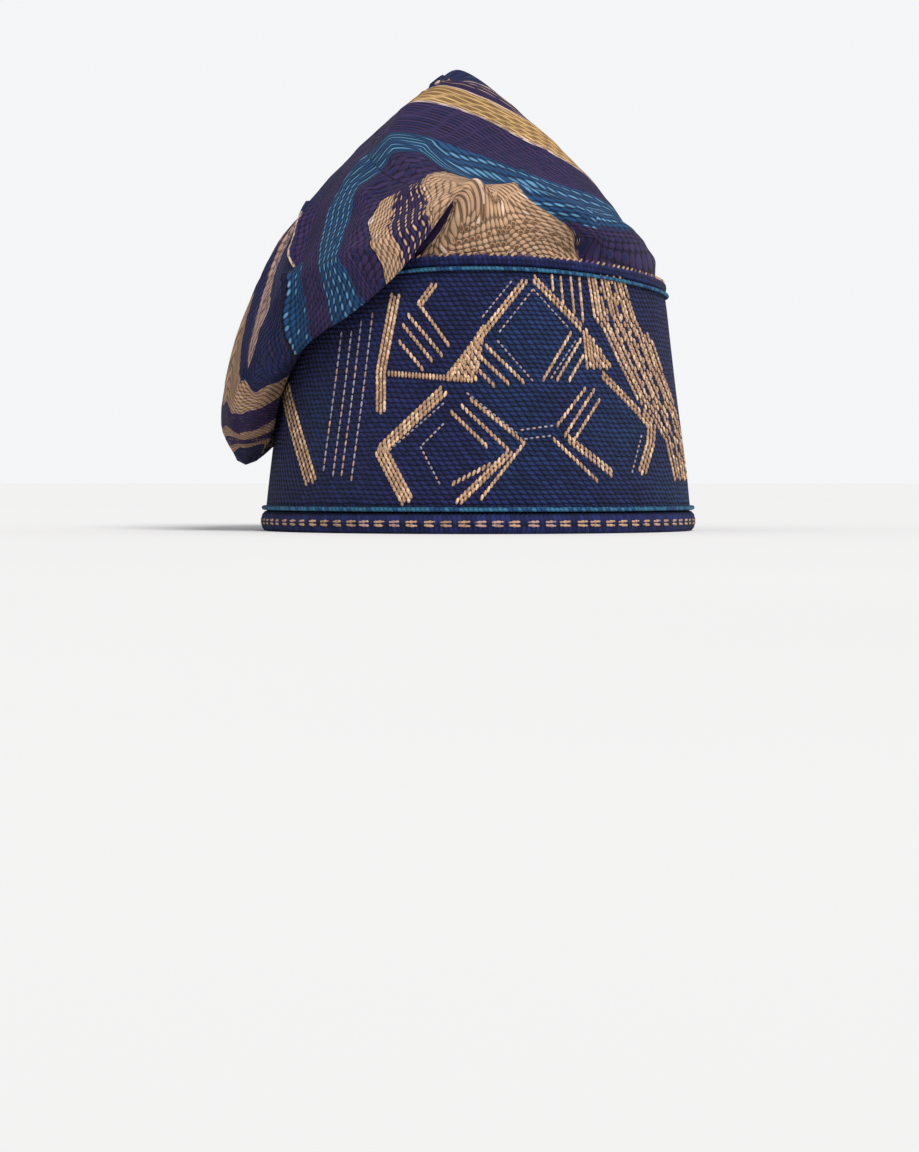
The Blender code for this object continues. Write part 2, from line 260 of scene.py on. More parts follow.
def finishYarn(tree, sockets, colour, stitch, relief, spread, depth):
    # Sends a yarn's colour, roughness and relief to a material's own shader; depth is how dark the painted
    # shade between the stitches is.
    toned = useGroup(tree, yarnToneAndShade, {
        "Color": colour, "Tone": stitch["Tone"], "Gap Shade": stitch["Gap Shade"], "Spread": spread, "Depth": depth})
    tree.links.new(toned["Color"], sockets["Base Color"])
    tree.links.new(toned["Roughness"], sockets["Roughness"])
    height = add(tree, stitch["Height"], times(tree, toned["Fibre"], 0.18))
    bump = addNode(tree, "ShaderNodeBump", {"Height": height, "Strength": 1.0, "Distance": relief})
    tree.links.new(bump.outputs[0], sockets["Normal"])


# Camera, floor and light

studio = {
    "distance": 1.3, "height": 0.02, "fieldWidth": 0.486, "sensor": 36, "shift": -0.081, "near": 0.004,
    "floor": 160.0, "floorPaints": ((0.80, 0.80, 0.805, 1), (0.83, 0.83, 0.835, 1)),
    "air": 0.52, "airSeen": 0.93, "sun": 2.5, "sunWidth": 26.0, "sunFrom": (0.45, -0.75, 0.95),
    "fill": 1.2, "fillSize": 1.4, "fillFrom": (-1.5, -1.3, 0.9), "fillAim": (0, 0, 0.09),
}


def hold(name, data):
    holder = bpy.data.objects.new(name, data)
    bpy.context.scene.collection.objects.link(holder)
    return holder


def makeCamera():
    camera = bpy.data.cameras.new("camera")
    camera.clip_start = studio["near"]
    camera.lens = studio["sensor"] * studio["distance"] / studio["fieldWidth"]
    camera.sensor_width = studio["sensor"]
    camera.shift_y = studio["shift"]
    holder = hold("camera", camera)
    holder.location = (0.0005, -studio["distance"], studio["height"])
    holder.rotation_euler = (math.pi / 2, 0, 0)
    bpy.context.scene.camera = holder
    bpy.context.scene.view_settings.view_transform = "Standard"


def makeSun():
    light = bpy.data.lights.new("softSun", "SUN")
    light.energy = studio["sun"]
    light.angle = math.radians(studio["sunWidth"])
    light.color = (1.0, 0.98, 0.95)
    hold("softSun", light).rotation_euler = Vector(studio["sunFrom"]).to_track_quat("Z", "Y").to_euler()


def makeFill():
    light = bpy.data.lights.new("softFill", "AREA")
    light.shape = "DISK"
    light.size = studio["fillSize"]
    light.energy = studio["fill"]
    light.color = (0.95, 0.97, 1.0)
    holder = hold("softFill", light)
    holder.location = studio["fillFrom"]
    ahead = Vector(studio["fillAim"]) - Vector(studio["fillFrom"])
    holder.rotation_euler = ahead.to_track_quat("-Z", "Y").to_euler()


def makeFloor():
    bpy.ops.mesh.primitive_grid_add(x_subdivisions=8, y_subdivisions=8, size=studio["floor"])
    floor = bpy.context.object
    floor.name = "studioFloor"
    material = bpy.data.materials.new("paleFloor")
    material.use_nodes = True
    tree = material.node_tree
    sockets = tree.nodes["Principled BSDF"].inputs
    colour = blendColour(tree, cloudy(tree, objectPlace(tree), 3.0), *studio["floorPaints"])
    tree.links.new(colour, sockets["Base Color"])
    sockets["Roughness"].default_value = 1.0
    sockets["Specular IOR Level"].default_value = 0.0
    floor.data.materials.append(material)


def makeAir():
    # The air is a little brighter to look at than the light that it gives.
    world = bpy.data.worlds.new("studioAir")
    bpy.context.scene.world = world
    world.use_nodes = True
    tree = world.node_tree
    air = tree.nodes["Background"]
    air.inputs[0].default_value = (0.98, 0.985, 1.0, 1)
    seen = addNode(tree, "ShaderNodeLightPath").outputs["Is Camera Ray"]
    tree.links.new(between(tree, seen, 0.0, 1.0, studio["air"], studio["airSeen"]), air.inputs[1])


makeCamera()
makeSun()
makeFloor()
makeAir()
makeFill()
print("studio ready")


# The band's oval, which every other piece follows

band = {
    "halfWidth": 90.0, "halfDepth": 104.0, "topHalfWidth": 78.5, "topHalfDepth": 92.0,
    "topHeight": 99.0, "frontRise": 6.0, "wall": 3.0, "taperPower": 1.10, "bottom": 8.8,
    "columns": 400, "rows": 26, "swell": 0.5, "swellFrom": 9, "swellFade": 12,
}


def bandHalfSizes(height):
    share = np.clip(np.asarray(height, float) / band["topHeight"], 0.0, 1.0) ** band["taperPower"]
    return (band["halfWidth"] + (band["topHalfWidth"] - band["halfWidth"]) * share,
            band["halfDepth"] + (band["topHalfDepth"] - band["halfDepth"]) * share)


def bandTop(angle):
    return band["topHeight"] + band["frontRise"] * max(0.0, -math.sin(angle)) ** 2


def onOval(angle, ovalHeight, out, height):
    # A point in metres at an angle round the cap, set out from the oval of one height and raised to another.
    halfWidth, halfDepth = bandHalfSizes(ovalHeight)
    return Vector((rimCentreX + (float(halfWidth) + out) * math.cos(angle),
                   (float(halfDepth) + out) * math.sin(angle), height)) * mm


def onBand(angle, height, out=0.0):
    # A point in metres at an angle round the cap and a height, set out from the band's uneven outer face.
    swell = band["swell"] * noise.noise(Vector((2.2 * math.cos(angle), 2.2 * math.sin(angle), height / 38.0)))
    for gap in (height - band["swellFrom"], bandTop(angle) - height):
        swell *= min(1.0, max(0.0, gap / band["swellFade"]))
    return onOval(angle, height, out + swell, height)


def bandFrame(angle, height):
    # The way round the band, up it and out of it, at one place.
    here = onBand(angle, height)
    around = (onBand(angle + 0.004, height) - here).normalized()
    up = (onBand(angle, height + 0.5) - here).normalized()
    return around, up, around.cross(up).normalized()


# The crown

crownLines = {
    # each line runs from the sewn edge (way 0) to the closed end (way 1): way, x, y, z
    "overTheTop": (
        (0.00, 75.0, 4, 93), (0.06, 75.0, 4, 106), (0.09, 73.0, 4, 113), (0.13, 70.0, 4, 119),
        (0.17, 66.0, 4, 124),
        (0.21, 62.0, 4, 129.5), (0.28, 55.0, 3, 138.5), (0.385, 43.5, 2, 151.5), (0.51, 25.0, 3, 168.5),
        (0.60, 3.0, 4, 188.5), (0.65, -11.0, 4, 194.5), (0.68, -20.0, 3, 187), (0.72, -35.0, 3, 168.5),
        (0.80, -63.5, 4, 143), (0.86, -83.0, 3, 123.5), (0.90, -93.0, 1, 105), (0.93, -98.5, 0, 86),
        (0.96, -105.0, 0, 65), (0.985, -108.0, 0, 45), (1.00, -101.5, 0, 29.5),
    ),
    "frontRidge": (
        (0.00, 14, -86.5, 93), (0.06, 13, -88, 110.5), (0.09, 12, -92, 122), (0.13, 7, -94, 133.5),
        (0.17, -6, -78, 138), (0.21, -24, -65, 146.5), (0.28, -34, -47, 160), (0.385, -27, -29, 174.5),
        (0.51, -17, -15, 185), (0.60, -15, -10, 188.5), (0.65, -22, -10, 183.5), (0.72, -42, -12, 164.5),
        (0.80, -70, -16, 136.5), (0.86, -87, -19, 113), (0.90, -97, -20, 90), (0.96, -105, -20, 58),
        (0.985, -107, -19, 43), (1.00, -101, -15, 30.5),
    ),
    "valley": (
        (0.00, 0, -88.0, 93), (0.06, 0, -88.5, 111), (0.09, 1, -94, 124), (0.13, -1, -96, 139),
        (0.17, -15, -86, 134),
        (0.21, -31, -76, 130), (0.28, -50, -54, 139), (0.385, -58, -37, 143), (0.51, -63, -27, 142.5),
        (0.60, -68, -24, 138), (0.65, -72, -24, 133), (0.72, -80, -26, 121), (0.80, -92, -29, 100),
        (0.86, -98, -31, 80), (0.90, -101.5, -32, 67), (0.96, -104.5, -30, 49.5),
        (0.985, -104.5, -27.5, 41.5),
        (1.00, -100, -22, 32),
    ),
    "frontRoll": (
        (0.00, -12, -87.0, 93), (0.06, -11, -88, 111), (0.09, -6, -94, 123.5), (0.13, -7, -100.5, 134),
        (0.17, -27, -99.5, 120), (0.21, -44, -90.5, 113), (0.28, -62, -77, 108), (0.385, -75, -64, 102),
        (0.51, -84, -54, 93), (0.60, -89, -48, 85), (0.65, -91.5, -46, 80), (0.72, -95, -43, 71),
        (0.80, -98, -41, 62), (0.86, -100, -39.5, 55), (0.90, -100.5, -38, 51), (0.96, -101.5, -36, 43),
        (0.985, -101, -33, 39.5), (1.00, -98, -27, 34),
    ),
    "frontFoldEdge": (
        (0.00, -26, -83, 93), (0.06, -23, -86, 110.5), (0.09, -15, -90.5, 119), (0.13, -11, -97.5, 129.5),
        (0.15, -19, -98.5, 118), (0.17, -29, -96, 105), (0.21, -46, -87, 90), (0.28, -60, -76.5, 81.5),
        (0.385, -71, -66.5, 74), (0.51, -80, -58, 66), (0.60, -85, -52, 60), (0.65, -87, -49, 57),
        (0.72, -89.5, -45, 53), (0.80, -92, -41.5, 48), (0.86, -93, -39, 44), (0.90, -94, -37.5, 42),
        (0.96, -95, -35, 38), (0.985, -95.5, -32.5, 36), (1.00, -95.5, -27, 33.5),
    ),
    "innerCrease": (
        (0.00, -75.0, 4, 93), (0.06, -75.0, 4, 106), (0.09, -76.0, 4, 110), (0.12, -79.0, 4, 112.5),
        (0.15, -81.8, 4, 110), (0.20, -82.3, 4, 100), (0.35, -83.5, 4, 84), (0.55, -85.6, 4, 67),
        (0.75, -87.2, 4, 54),
        (0.90, -88.3, 3, 43), (0.96, -89.2, 2, 37), (0.985, -90.5, 1, 32.5), (1.00, -94.0, 0, 29),
    ),
    "backFoldEdge": (
        (0.00, -40, 75, 93), (0.06, -39, 77, 105.5), (0.10, -38, 81, 117), (0.13, -43, 87, 114),
        (0.17, -50, 89.5, 106),
        (0.28, -62, 76, 91), (0.385, -71, 67, 80), (0.51, -79, 59, 70), (0.60, -84, 53, 63),
        (0.72, -89, 46, 54),
        (0.80, -92, 42, 49), (0.90, -94, 38, 42), (0.96, -95, 35, 38), (0.985, -95.5, 32.5, 36),
        (1.00, -95.5, 27, 33.5),
    ),
    "backRidge": (
        (0.00, -12, 87.5, 93), (0.06, -12, 88, 105.5), (0.10, -14, 88, 118), (0.17, -22, 84.5, 131),
        (0.28, -31, 64, 152),
        (0.385, -27, 44, 171), (0.51, -17, 24, 187), (0.60, -14, 15, 192), (0.65, -17, 14, 191),
        (0.72, -36, 15, 173.5),
        (0.80, -66, 19, 143), (0.86, -85, 21, 118), (0.90, -96, 22, 95), (0.96, -104, 20, 60),
        (0.985, -107, 19, 43),
        (1.00, -101, 15, 30.5),
    ),
}

crownFolds = (
    # x, y, z, end x, y, z, how deep the cloth sinks (a ridge is below zero) and how wide
    (12, -81, 136, 38, -77, 120, 4.0, 6.5), (8, -96, 131, 34, -90, 117, -2.0, 6.5),
    (-14, -83, 137, -44, -68, 130, 3.5, 6.5),
    (-24, 62, 146, -66, 66, 108, 3.0, 8.0), (14, 72, 136, 52, 56, 114, 2.5, 8.0),
    (-26, 2, 180, -72, 3, 133, 2.5, 5.0),
)

# Narrow creases, in the same columns.
crownCreases = (
    (-67, -38, 132, -73.5, -58, 110, 5.0, 2.8), (-75, -64, 101, -76, -64.5, 78, 5.0, 2.8),
    (14, -84, 135, 40, -80, 119, 2.2, 3.0), (8, -96, 131, 36, -88, 116, -1.3, 2.6),
    (-40, -60, 140, -52, -60, 128, 2.0, 4.0),
)

# Which stripe of the cloth each line passes through: way, stripe place.
stripePlaces = {
    "overTheTop": ((0, .195), (.10, .20), (.14, .216), (.222, .288), (.30, .383), (.44, .51), (.57, .592),
                   (.62, .605),
                   (.80, .64), (.90, .66), (.97, .70), (.987, .80), (1, .94)),
    "sideFront": ((0, .195), (.09, .205), (.118, .216), (.231, .288), (.32, .383), (.465, .51),
                  (.575, .592), (.65, .61),
                  (.80, .625), (.90, .635), (.97, .66), (.987, .75), (1, .94)),
    "cornerFront": ((0, .195), (.07, .20), (.094, .216), (.122, .236), (.14, .25), (.165, .257),
                    (.217, .27), (.245, .288), (.39, .383), (.53, .51), (.60, .592), (.65, .605),
                    (.90, .61), (.97, .65), (.987, .74), (1, .94)),
    "besideNose": ((0, .06), (.086, .146), (.11, .20), (.15, .213), (.215, .216), (.26, .288),
                   (.40, .383), (.525, .51),
                   (.59, .592), (.65, .60), (.90, .60), (.97, .645), (.987, .73), (1, .94)),
    "noseSide": ((0, .04), (.08, .108), (.112, .144), (.20, .148), (.235, .216), (.275, .288), (.40, .383),
                 (.525, .51), (.59, .592), (.65, .60), (.90, .60), (.97, .645), (.987, .73), (1, .94)),
    "frontRidge": ((0, .06), (.05, .11), (.08, .128), (.13, .134), (.198, .142), (.215, .197),
                   (.25, .216), (.294, .288), (.405, .383),
                   (.52, .51), (.55, .592), (.65, .595), (.80, .58), (.90, .59), (.975, .64), (.988, .72),
                   (1, .94)),
    "pastRidge": ((0, .05), (.05, .11), (.08, .128), (.13, .134), (.18, .144), (.193, .149), (.206, .160),
                  (.225, .197),
                  (.257, .216), (.305, .288), (.45, .30), (.57, .31), (.62, .40), (.66, .50), (.70, .53),
                  (.77, .55), (.86, .575), (.93, .60), (.97, .64),
                  (.985, .72), (1, .94)),
    "valley": ((0, .05), (.05, .11), (.08, .128), (.13, .134), (.16, .142), (.181, .149), (.217, .174),
               (.231, .190),
               (.245, .197), (.275, .216), (.33, .288), (.41, .335), (.425, .383), (.455, .396),
               (.64, .50), (.66, .515), (.72, .532), (.80, .575),
               (.955, .64), (.98, .72), (.99, .78), (1, .94)),
    "frontRoll": ((0, .05), (.08, .128), (.13, .138), (.156, .149), (.183, .174), (.21, .19),
                  (.255, .216), (.282, .288),
                  (.345, .335), (.366, .386), (.379, .396), (.50, .515), (.63, .532), (.79, .575),
                  (.925, .64), (.972, .72),
                  (.992, .78), (1, .94)),
    "underRoll": ((0, .055), (.13, .13), (.15, .149), (.173, .174), (.19, .19), (.225, .216),
                  (.266, .288), (.318, .335),
                  (.40, .386), (.413, .396), (.70, .505), (.735, .58), (.88, .64), (.966, .72),
                  (.985, .78), (1, .94)),
    "frontFoldEdge": ((0, .06), (.09, .10), (.13, .13), (.15, .149), (.17, .174), (.185, .19),
                      (.205, .216), (.262, .288),
                      (.34, .335), (.425, .386), (.435, .396), (.57, .50), (.585, .58), (.77, .64),
                      (.915, .72),
                      (.968, .78), (1, .94)),
    "innerCrease": ((0, .195), (.10, .20), (.14, .216), (.23, .288), (1, .94)),
    "backFoldEdge": ((0, .195), (.10, .20), (.14, .216), (.23, .288), (.34, .383), (.48, .51),
                     (.60, .592), (.75, .66),
                     (.90, .80), (1, .94)),
    "backRidge": ((0, .195), (.10, .20), (.14, .216), (.222, .288), (.32, .383), (.46, .51), (.58, .592),
                  (.65, .62),
                  (.80, .64), (.90, .67), (.97, .71), (.987, .80), (1, .94)),
}
# The stations round a ring: a line, or a second line and its share too.
stripeStations = (
    (0, "overTheTop"), (1, "sideFront"), (2, "cornerFront"), (2.12, "besideNose"), (2.42, "noseSide"),
    (3, "frontRidge"), (4, "pastRidge"), (5, "valley"), (6, "frontRoll"), (7, "underRoll"),
    (8, "frontFoldEdge"),
    (9, "frontFoldEdge", "innerCrease", .2), (10, "frontFoldEdge", "innerCrease", .5), (11, "innerCrease"),
    (12, "backFoldEdge", "innerCrease", .5), (13, "backFoldEdge"), (14, "backFoldEdge"),
    (15, "backFoldEdge", "backRidge", .3), (16, "backFoldEdge", "backRidge", .67), (17, "backRidge"),
    (18, "backRidge", "overTheTop", .3), (19, "backRidge", "overTheTop", .7), (20, "overTheTop"),
)

# The edge between the tan nose and the stripes beyond it: station, way.
crestWays = (
    (2.0, -1.0), (2.05, .08), (2.13, .086), (2.2, .094), (2.33, .102), (2.4, .110), (2.47, .118),
    (2.53, .130),
    (2.6, .150), (2.68, .192), (2.78, .202), (2.9, .200), (3.4, .198), (4.0, .206), (4.67, .217),
    (5.07, .231),
    (5.47, .231), (5.8, .212), (6.4, .198), (7.0, .190), (8.0, .186), (8.5, -1.0),
)
# The stripe places beside the nose: way, place.
blueWays = (
    (0, .197), (.085, .203), (.098, .2165), (.122, .239), (.138, .2525), (.16, .259), (.217, .268),
    (.27, .2865),
)

crown = {
    "wall": 1.5, "lipLift": 2.5, "seamHeight": 113.5, "seamHalfWidth": 74.6, "seamHalfDepth": 88.1,
    "hangingWay": 0.125, "hangingHeight": 113.0, "hangingClearance": 2.2, "tip": (-98.0, 0.0, 27.5),
    "steps": 3, "finerAround": 5, "finerAlong": 5, "dents": ((0.9, 17.0), (0.35, 7.0)), "dentsFrom": 0.15,
    "outerTo": 8.0, "outerFrom": 14.0, "freeOver": 3.0, "shownFrom": 0.09, "cutStation": 11,
    "rowHeight": 1.6, "stitchLength": 2.4, "slant": 0.55, "wobble": 0.3, "relief": 0.0008,
    "ways": (0.0, 0.045, 0.07, 0.09, 0.11, 0.13, 0.15, 0.17, 0.19, 0.21, 0.245, 0.28, 0.315, 0.35, 0.385,
             0.425, 0.47, 0.51, 0.55, 0.585, 0.62, 0.65, 0.68, 0.72, 0.76, 0.80, 0.84, 0.88, 0.92, 0.955,
             0.985, 1.0),
}

# The stripes from the front of the band: from which place on, yarn, second yarn, share of the second.
nearStripes = (
    (0.000, "tan", "pale", 0.12), (0.110, "tan", "umber", 0.6), (0.127, "tan", "pale", 0.12),
    (0.1485, "pale", "pale", 0.0), (0.151, "purple", "tan", 0.80), (0.174, "tan", "pale", 0.1),
    (0.190, "pale", "pale", 0.0), (0.193, "purple", "navy", 0.5), (0.216, "blue", "sky", 0.90),
    (0.288, "purple", "navy", 0.5),
)
frontStripes = nearStripes + (
    (0.383, "pale", "rose", 0.6), (0.391, "gold", "umber", 0.85), (0.503, "pale", "rose", 0.5),
    (0.510, "purple", "rose", 0.90), (0.584, "pale", "rose", 0.6), (0.592, "navy", "blue", 0.3),
    (0.640, "rose", "plum", 0.5), (0.680, "purple", "tan", 0.2), (0.740, "tan", "plum", 0.2),
    (0.780, "purple", "navy", 0.3), (0.880, "tan", "plum", 0.2), (0.930, "navy", "purple", 0.4),
)
# The stripes of the part that hangs down, which the fold hides from those above.
flapStripes = nearStripes + (
    # the very dark stripe at 0.385 is painted shadow along the pleat's fold; the pale dashes on it are real
    (0.335, "blue", "sky", 0.35), (0.385, "pleatShadow", "pale", 0.6), (0.396, "navy", "purple", 0.6),
    # the darker tan on the hanging part is tan in painted shade
    (0.507, "rose", "plum", 0.4), (0.540, "navy", "purple", 0.4), (0.575, "shadedTan", "rose", 0.5),
    (0.640, "purple", "plum", 0.4), (0.720, "shadedTan", "plum", 0.3), (0.780, "purple", "rose", 0.3),
    (0.850, "shadedTan", "plum", 0.3), (0.910, "navy", "purple", 0.4),
)
# Where the two charts meet, in stations, ways and stripe places.
charts = {
    "flapStations": (4.0, 3.0, 12.0), "flapWay": 0.6, "endPlace": 0.66, "plainUpTo": 0.149,
    # how far a station has gone into the hanging part: more shows there with each step
    "levels": ((5.3, 0.6), (5.42, 0.75), (5.62, 0.75), (6.12, 1.25), (6.25, 1.25), (6.75, 1.75)),
    "upper": 0.5, "pleat": 0.7, "lower": 1.0, "under": 1.5,
    # the pleat's line, painted navy above the pleat as shadow in the fold, and where the rose stripe ends
    "pleatFrom": 0.3835, "pleatWidth": 0.0125, "pleatShadowAt": (0.390, 0.009), "roseAt": (0.525, 0.035),
    # the heights of a stitch above which its second yarn shows: real dots of that yarn, kept to each stitch's
    # raised middle as a painted highlight
    "ragged": 0.0035, "dotsAndHighlight": (0.78, 1.0), "smoothing": 10,
    # past the nose's edge: the stations beside the nose and beyond it, the least place, and how it grows
    "beside": (1.5, 1.8, 2.58, 2.8), "beyond": (2.58, 2.8, 8.0, 8.4),
    "least": 0.197, "growth": 0.35, "grows": 0.045,
}


def hermite(start, leave, end, arrive, t):
    # A smooth way between two places, with the direction and speed given at both.
    return ((2 * t**3 - 3 * t**2 + 1) * start + (t**3 - 2 * t**2 + t) * leave
            + (3 * t**2 - 2 * t**3) * end + (t**3 - t**2) * arrive)


def lineAt(name, way):
    rows = np.array(crownLines[name], float)
    ways, places = rows[:, 0], rows[:, 1:]
    slopes = np.gradient(places, ways, axis=0)
    k = int(np.clip(np.searchsorted(ways, way) - 1, 0, len(ways) - 2))
    step = ways[k + 1] - ways[k]
    return hermite(places[k], step * slopes[k], places[k + 1], step * slopes[k + 1], (way - ways[k]) / step)


def bowed(start, end, share, bow):
    point = start + (end - start) * share
    away = np.array([point[0] / band["halfWidth"] ** 2, point[1] / band["halfDepth"] ** 2, 0.0])
    return point + away / np.linalg.norm(away) * bow * np.linalg.norm(end - start)


def cornered(side, ridge, turn):
    angle = turn * math.pi / 2
    return np.array([ridge[0] + (side[0] - ridge[0]) * math.sin(angle),
                     side[1] + (ridge[1] - side[1]) * math.cos(angle),
                     ridge[2] + (side[2] - ridge[2]) * turn])


def innerLayer(edge, crease, share, lift=0.0):
    first, last = (math.atan2(p[1] / band["halfDepth"], p[0] / band["halfWidth"]) % (2 * math.pi)
                   for p in (edge, crease))
    angle = first + (last - first) * share
    height = edge[2] + (crease[2] - edge[2]) * share**0.5 + lift
    clearance = -crease[0] - bandHalfSizes(crease[2])[0]
    halfWidth, halfDepth = (size + clearance for size in bandHalfSizes(height))
    return np.array([halfWidth * math.cos(angle), halfDepth * math.sin(angle), height])


def ringStations(way):
    top, ridge, valley, roll, edge, crease, backEdge, backRidge = (lineAt(name, way) for name in crownLines)
    lift = crown["lipLift"] * min(1.0, max(0.0, (way - crown["hangingWay"]) / 0.05))
    return [
        top, cornered(top, ridge, 0.67), cornered(top, ridge, 0.33), ridge, bowed(ridge, valley, 0.50, 0.05),
        valley, roll, bowed(roll, edge, 0.55, 0.06), edge, innerLayer(edge, crease, 0.06, lift),
        innerLayer(edge, crease, 0.50), crease, innerLayer(backEdge, crease, 0.50),
        innerLayer(backEdge, crease, 0.06, lift), backEdge, bowed(backRidge, backEdge, 0.70, 0.16),
        bowed(backRidge, backEdge, 0.33, 0.10), backRidge, cornered(top, backRidge, 0.33),
        cornered(top, backRidge, 0.67),
    ]


def ringStripes(way, column):
    # The stripe places of one ring.
    at = {name: float(np.interp(way, *np.array(rows).T)) for name, rows in stripePlaces.items()}
    places = []
    for station, line, *other in stripeStations:
        second, share = other or (line, 0.0)
        places.append(at[line] * (1 - share) + at[second] * share)
    return np.interp(column, [row[0] for row in stripeStations], places)


def seated(point, way):
    if way < crown["hangingWay"]:
        halfWidth, halfDepth = crown["seamHalfWidth"], crown["seamHalfDepth"]
        held = min(1.0, max(0.0, (crown["seamHeight"] + 2.0 - point[2]) / 2.0))
    else:
        halfWidth, halfDepth = (size + crown["hangingClearance"] for size in bandHalfSizes(point[2]))
        held = min(1.0, max(0.0, (crown["hangingHeight"] - point[2]) / 2.0))
    reach = math.hypot(point[0] / halfWidth, point[1] / halfDepth)
    if way >= crown["hangingWay"] and reach > 1.0:
        return point
    share = 1.0 + (1.0 / reach - 1.0) * held
    return np.array([point[0] * share, point[1] * share, point[2]])


def closedCurve(stations, steps):
    points, count = [], len(stations)
    for k in range(count):
        before, here, there, after = (stations[(k + n) % count] for n in (-1, 0, 1, 2))
        pairs = ((before, here), (here, there), (there, after))
        gaps = [max(np.linalg.norm(b - a), 1e-6) ** 0.5 for a, b in pairs]
        step = (there - here) / gaps[1]
        leave = (here - before) / gaps[0] - (there - before) / (gaps[0] + gaps[1]) + step
        arrive = step - (after - here) / (gaps[1] + gaps[2]) + (after - there) / gaps[2]
        for n in range(steps):
            points.append(hermite(here, leave * gaps[1], there, arrive * gaps[1], n / steps))
    return points


def sunkBy(points, folds):
    depths = np.zeros(points.shape[:-1])
    for fold in folds:
        start, end, depth, width = np.array(fold[:3], float), np.array(fold[3:6], float), fold[6], fold[7]
        run = end - start
        along = np.clip(((points - start) @ run) / (run @ run), 0.0, 1.0)
        away = np.linalg.norm(points - start - along[..., None] * run, axis=-1)
        depths += depth * np.exp(-((away / width) ** 2))
    return depths


def gridSteps(values):
    # How much the values of a grid change from row to row, and from column to column of its closed rows.
    return np.gradient(values, axis=0), (np.roll(values, -1, axis=1) - np.roll(values, 1, axis=1)) / 2


def gridMeasures(points):
    # The steps of a grid of points, and their products with each other.
    along, around = gridSteps(points)
    return along, around, (around * around).sum(2), (around * along).sum(2), (along * along).sum(2)


def unitVectors(vectors):
    return vectors / np.maximum(np.linalg.norm(vectors, axis=2, keepdims=True), 1e-9)


def inwardOf(rings):
    return unitVectors(np.cross(*gridSteps(rings)))


def crownRings():
    ways, steps = crown["ways"], crown["steps"]
    rings = np.array([[seated(p, way) for p in closedCurve(ringStations(way), steps)] for way in ways])
    column = np.arange(rings.shape[1]) / steps
    outer = (column <= crown["outerTo"] - 0.5) | (column >= crown["outerFrom"] + 0.5)
    hanging = (np.array(ways) >= crown["hangingWay"])[:, None]
    free = np.clip((rings[:, :, 2] - crown["seamHeight"] - crown["freeOver"]) / 6.0, 0.0, 1.0)
    depths = sunkBy(rings, crownFolds) * outer * np.where(hanging, 1.0, free)
    return rings + inwardOf(rings) * depths[:, :, None]


def finer(values, count, closed):
    # Smooth steps between the rows of an array, by a cubic through its neighbours.
    if closed:
        padded = np.concatenate([values[-1:], values, values[:2]])
    else:
        padded = np.concatenate([2 * values[:1] - values[1:2], values, 2 * values[-1:] - values[-2:-1]])
    result = []
    for k in range(len(padded) - 3):
        before, here, there, after = padded[k:k + 4]
        for n in range(count):
            result.append(hermite(here, (there - before) / 2, there, (after - here) / 2, n / count))
    if not closed:
        result.append(values[-1])
    return np.array(result)


# How the cloth is flattened for its rows of stitches: the slope at which a stripe's direction counts in full,
# the least that it counts, the passes of smoothing, the limits of a weight and the rounds of the solver.
flattening = {"slope": 0.002, "least": 0.05, "passes": 12, "weights": (0.02, 50), "rounds": 900}


def acrossStripes(measures, slopes):
    # The direction across the stripes at each point of a grid, smoothed, with the cloth's outward direction.
    along, around, e, f, g = measures
    stripeAlong, stripeAround = slopes
    det = np.maximum(e * g - f * f, 1e-6)
    slope = (((g * stripeAround - f * stripeAlong) / det)[..., None] * around
             + ((e * stripeAlong - f * stripeAround) / det)[..., None] * along)
    size = np.linalg.norm(slope, axis=2, keepdims=True)
    across = slope / np.maximum(size, 1e-9) * np.clip(size / flattening["slope"], flattening["least"], 1.0)
    for _ in range(flattening["passes"]):
        total = across * 2 + np.roll(across, 1, axis=1) + np.roll(across, -1, axis=1)
        total[1:] += across[:-1]
        total[:-1] += across[1:]
        across = total / 6
    normal = unitVectors(np.cross(around, along))
    return unitVectors(across - (across * normal).sum(2, keepdims=True) * normal), normal


def gathered(stepColumn, stepRow):
    # The sum at each point of what its four sides bring.
    out = np.roll(stepColumn, 1, axis=1) - stepColumn
    out[1:] += stepRow
    out[:-1] -= stepRow
    return out


def layRows(points, slopes, cutColumn):
    # Flattens the cloth so that rows of stitches keep to the stripes and keep their spacing: returns two
    # coordinates in millimetres, along the stripes and across them.
    measures = gridMeasures(points)
    e, g = measures[2], measures[4]
    across, normal = acrossStripes(measures, slopes)
    sides = nextColumn, nextRow = np.roll(points, -1, axis=1) - points, points[1:] - points[:-1]
    lengthColumn, lengthRow = (np.maximum(np.linalg.norm(side, axis=2), 1e-3) for side in sides)
    weightColumn = np.clip(np.sqrt(g) / lengthColumn, *flattening["weights"])
    weightRow = np.clip(np.sqrt((e[1:] + e[:-1]) / 2) / lengthRow, *flattening["weights"])
    weightColumn[:, cutColumn] = 0.0
    scale = weightColumn + np.roll(weightColumn, 1, axis=1)
    scale[1:] += weightRow
    scale[:-1] += weightRow

    flat = []
    for way in (np.cross(normal, across), across):
        rest = gathered((nextColumn * (way + np.roll(way, -1, axis=1)) / 2).sum(2) * weightColumn,
                        (nextRow * (way[1:] + way[:-1]) / 2).sum(2) * weightRow)
        answer = np.zeros_like(rest)
        step = rest / scale
        worth = (rest * step).sum()
        for _ in range(flattening["rounds"]):
            pushed = gathered((np.roll(step, -1, axis=1) - step) * weightColumn,
                              (step[1:] - step[:-1]) * weightRow)
            share = worth / max((step * pushed).sum(), 1e-12)
            answer += share * step
            rest -= share * pushed
            fresh = (rest * rest / scale).sum()
            if fresh < 1e-6:
                break
            step = rest / scale + fresh / worth * step
            worth = fresh
        flat.append(answer)
    return flat


# How the rows across the stripes are spaced: the stripe places that are measured, how far round each one, the
# least number of points for it, and the width that stands in where there are fewer.
spacing = {"places": 61, "reach": 0.008, "points": 20, "otherwise": 100.0}


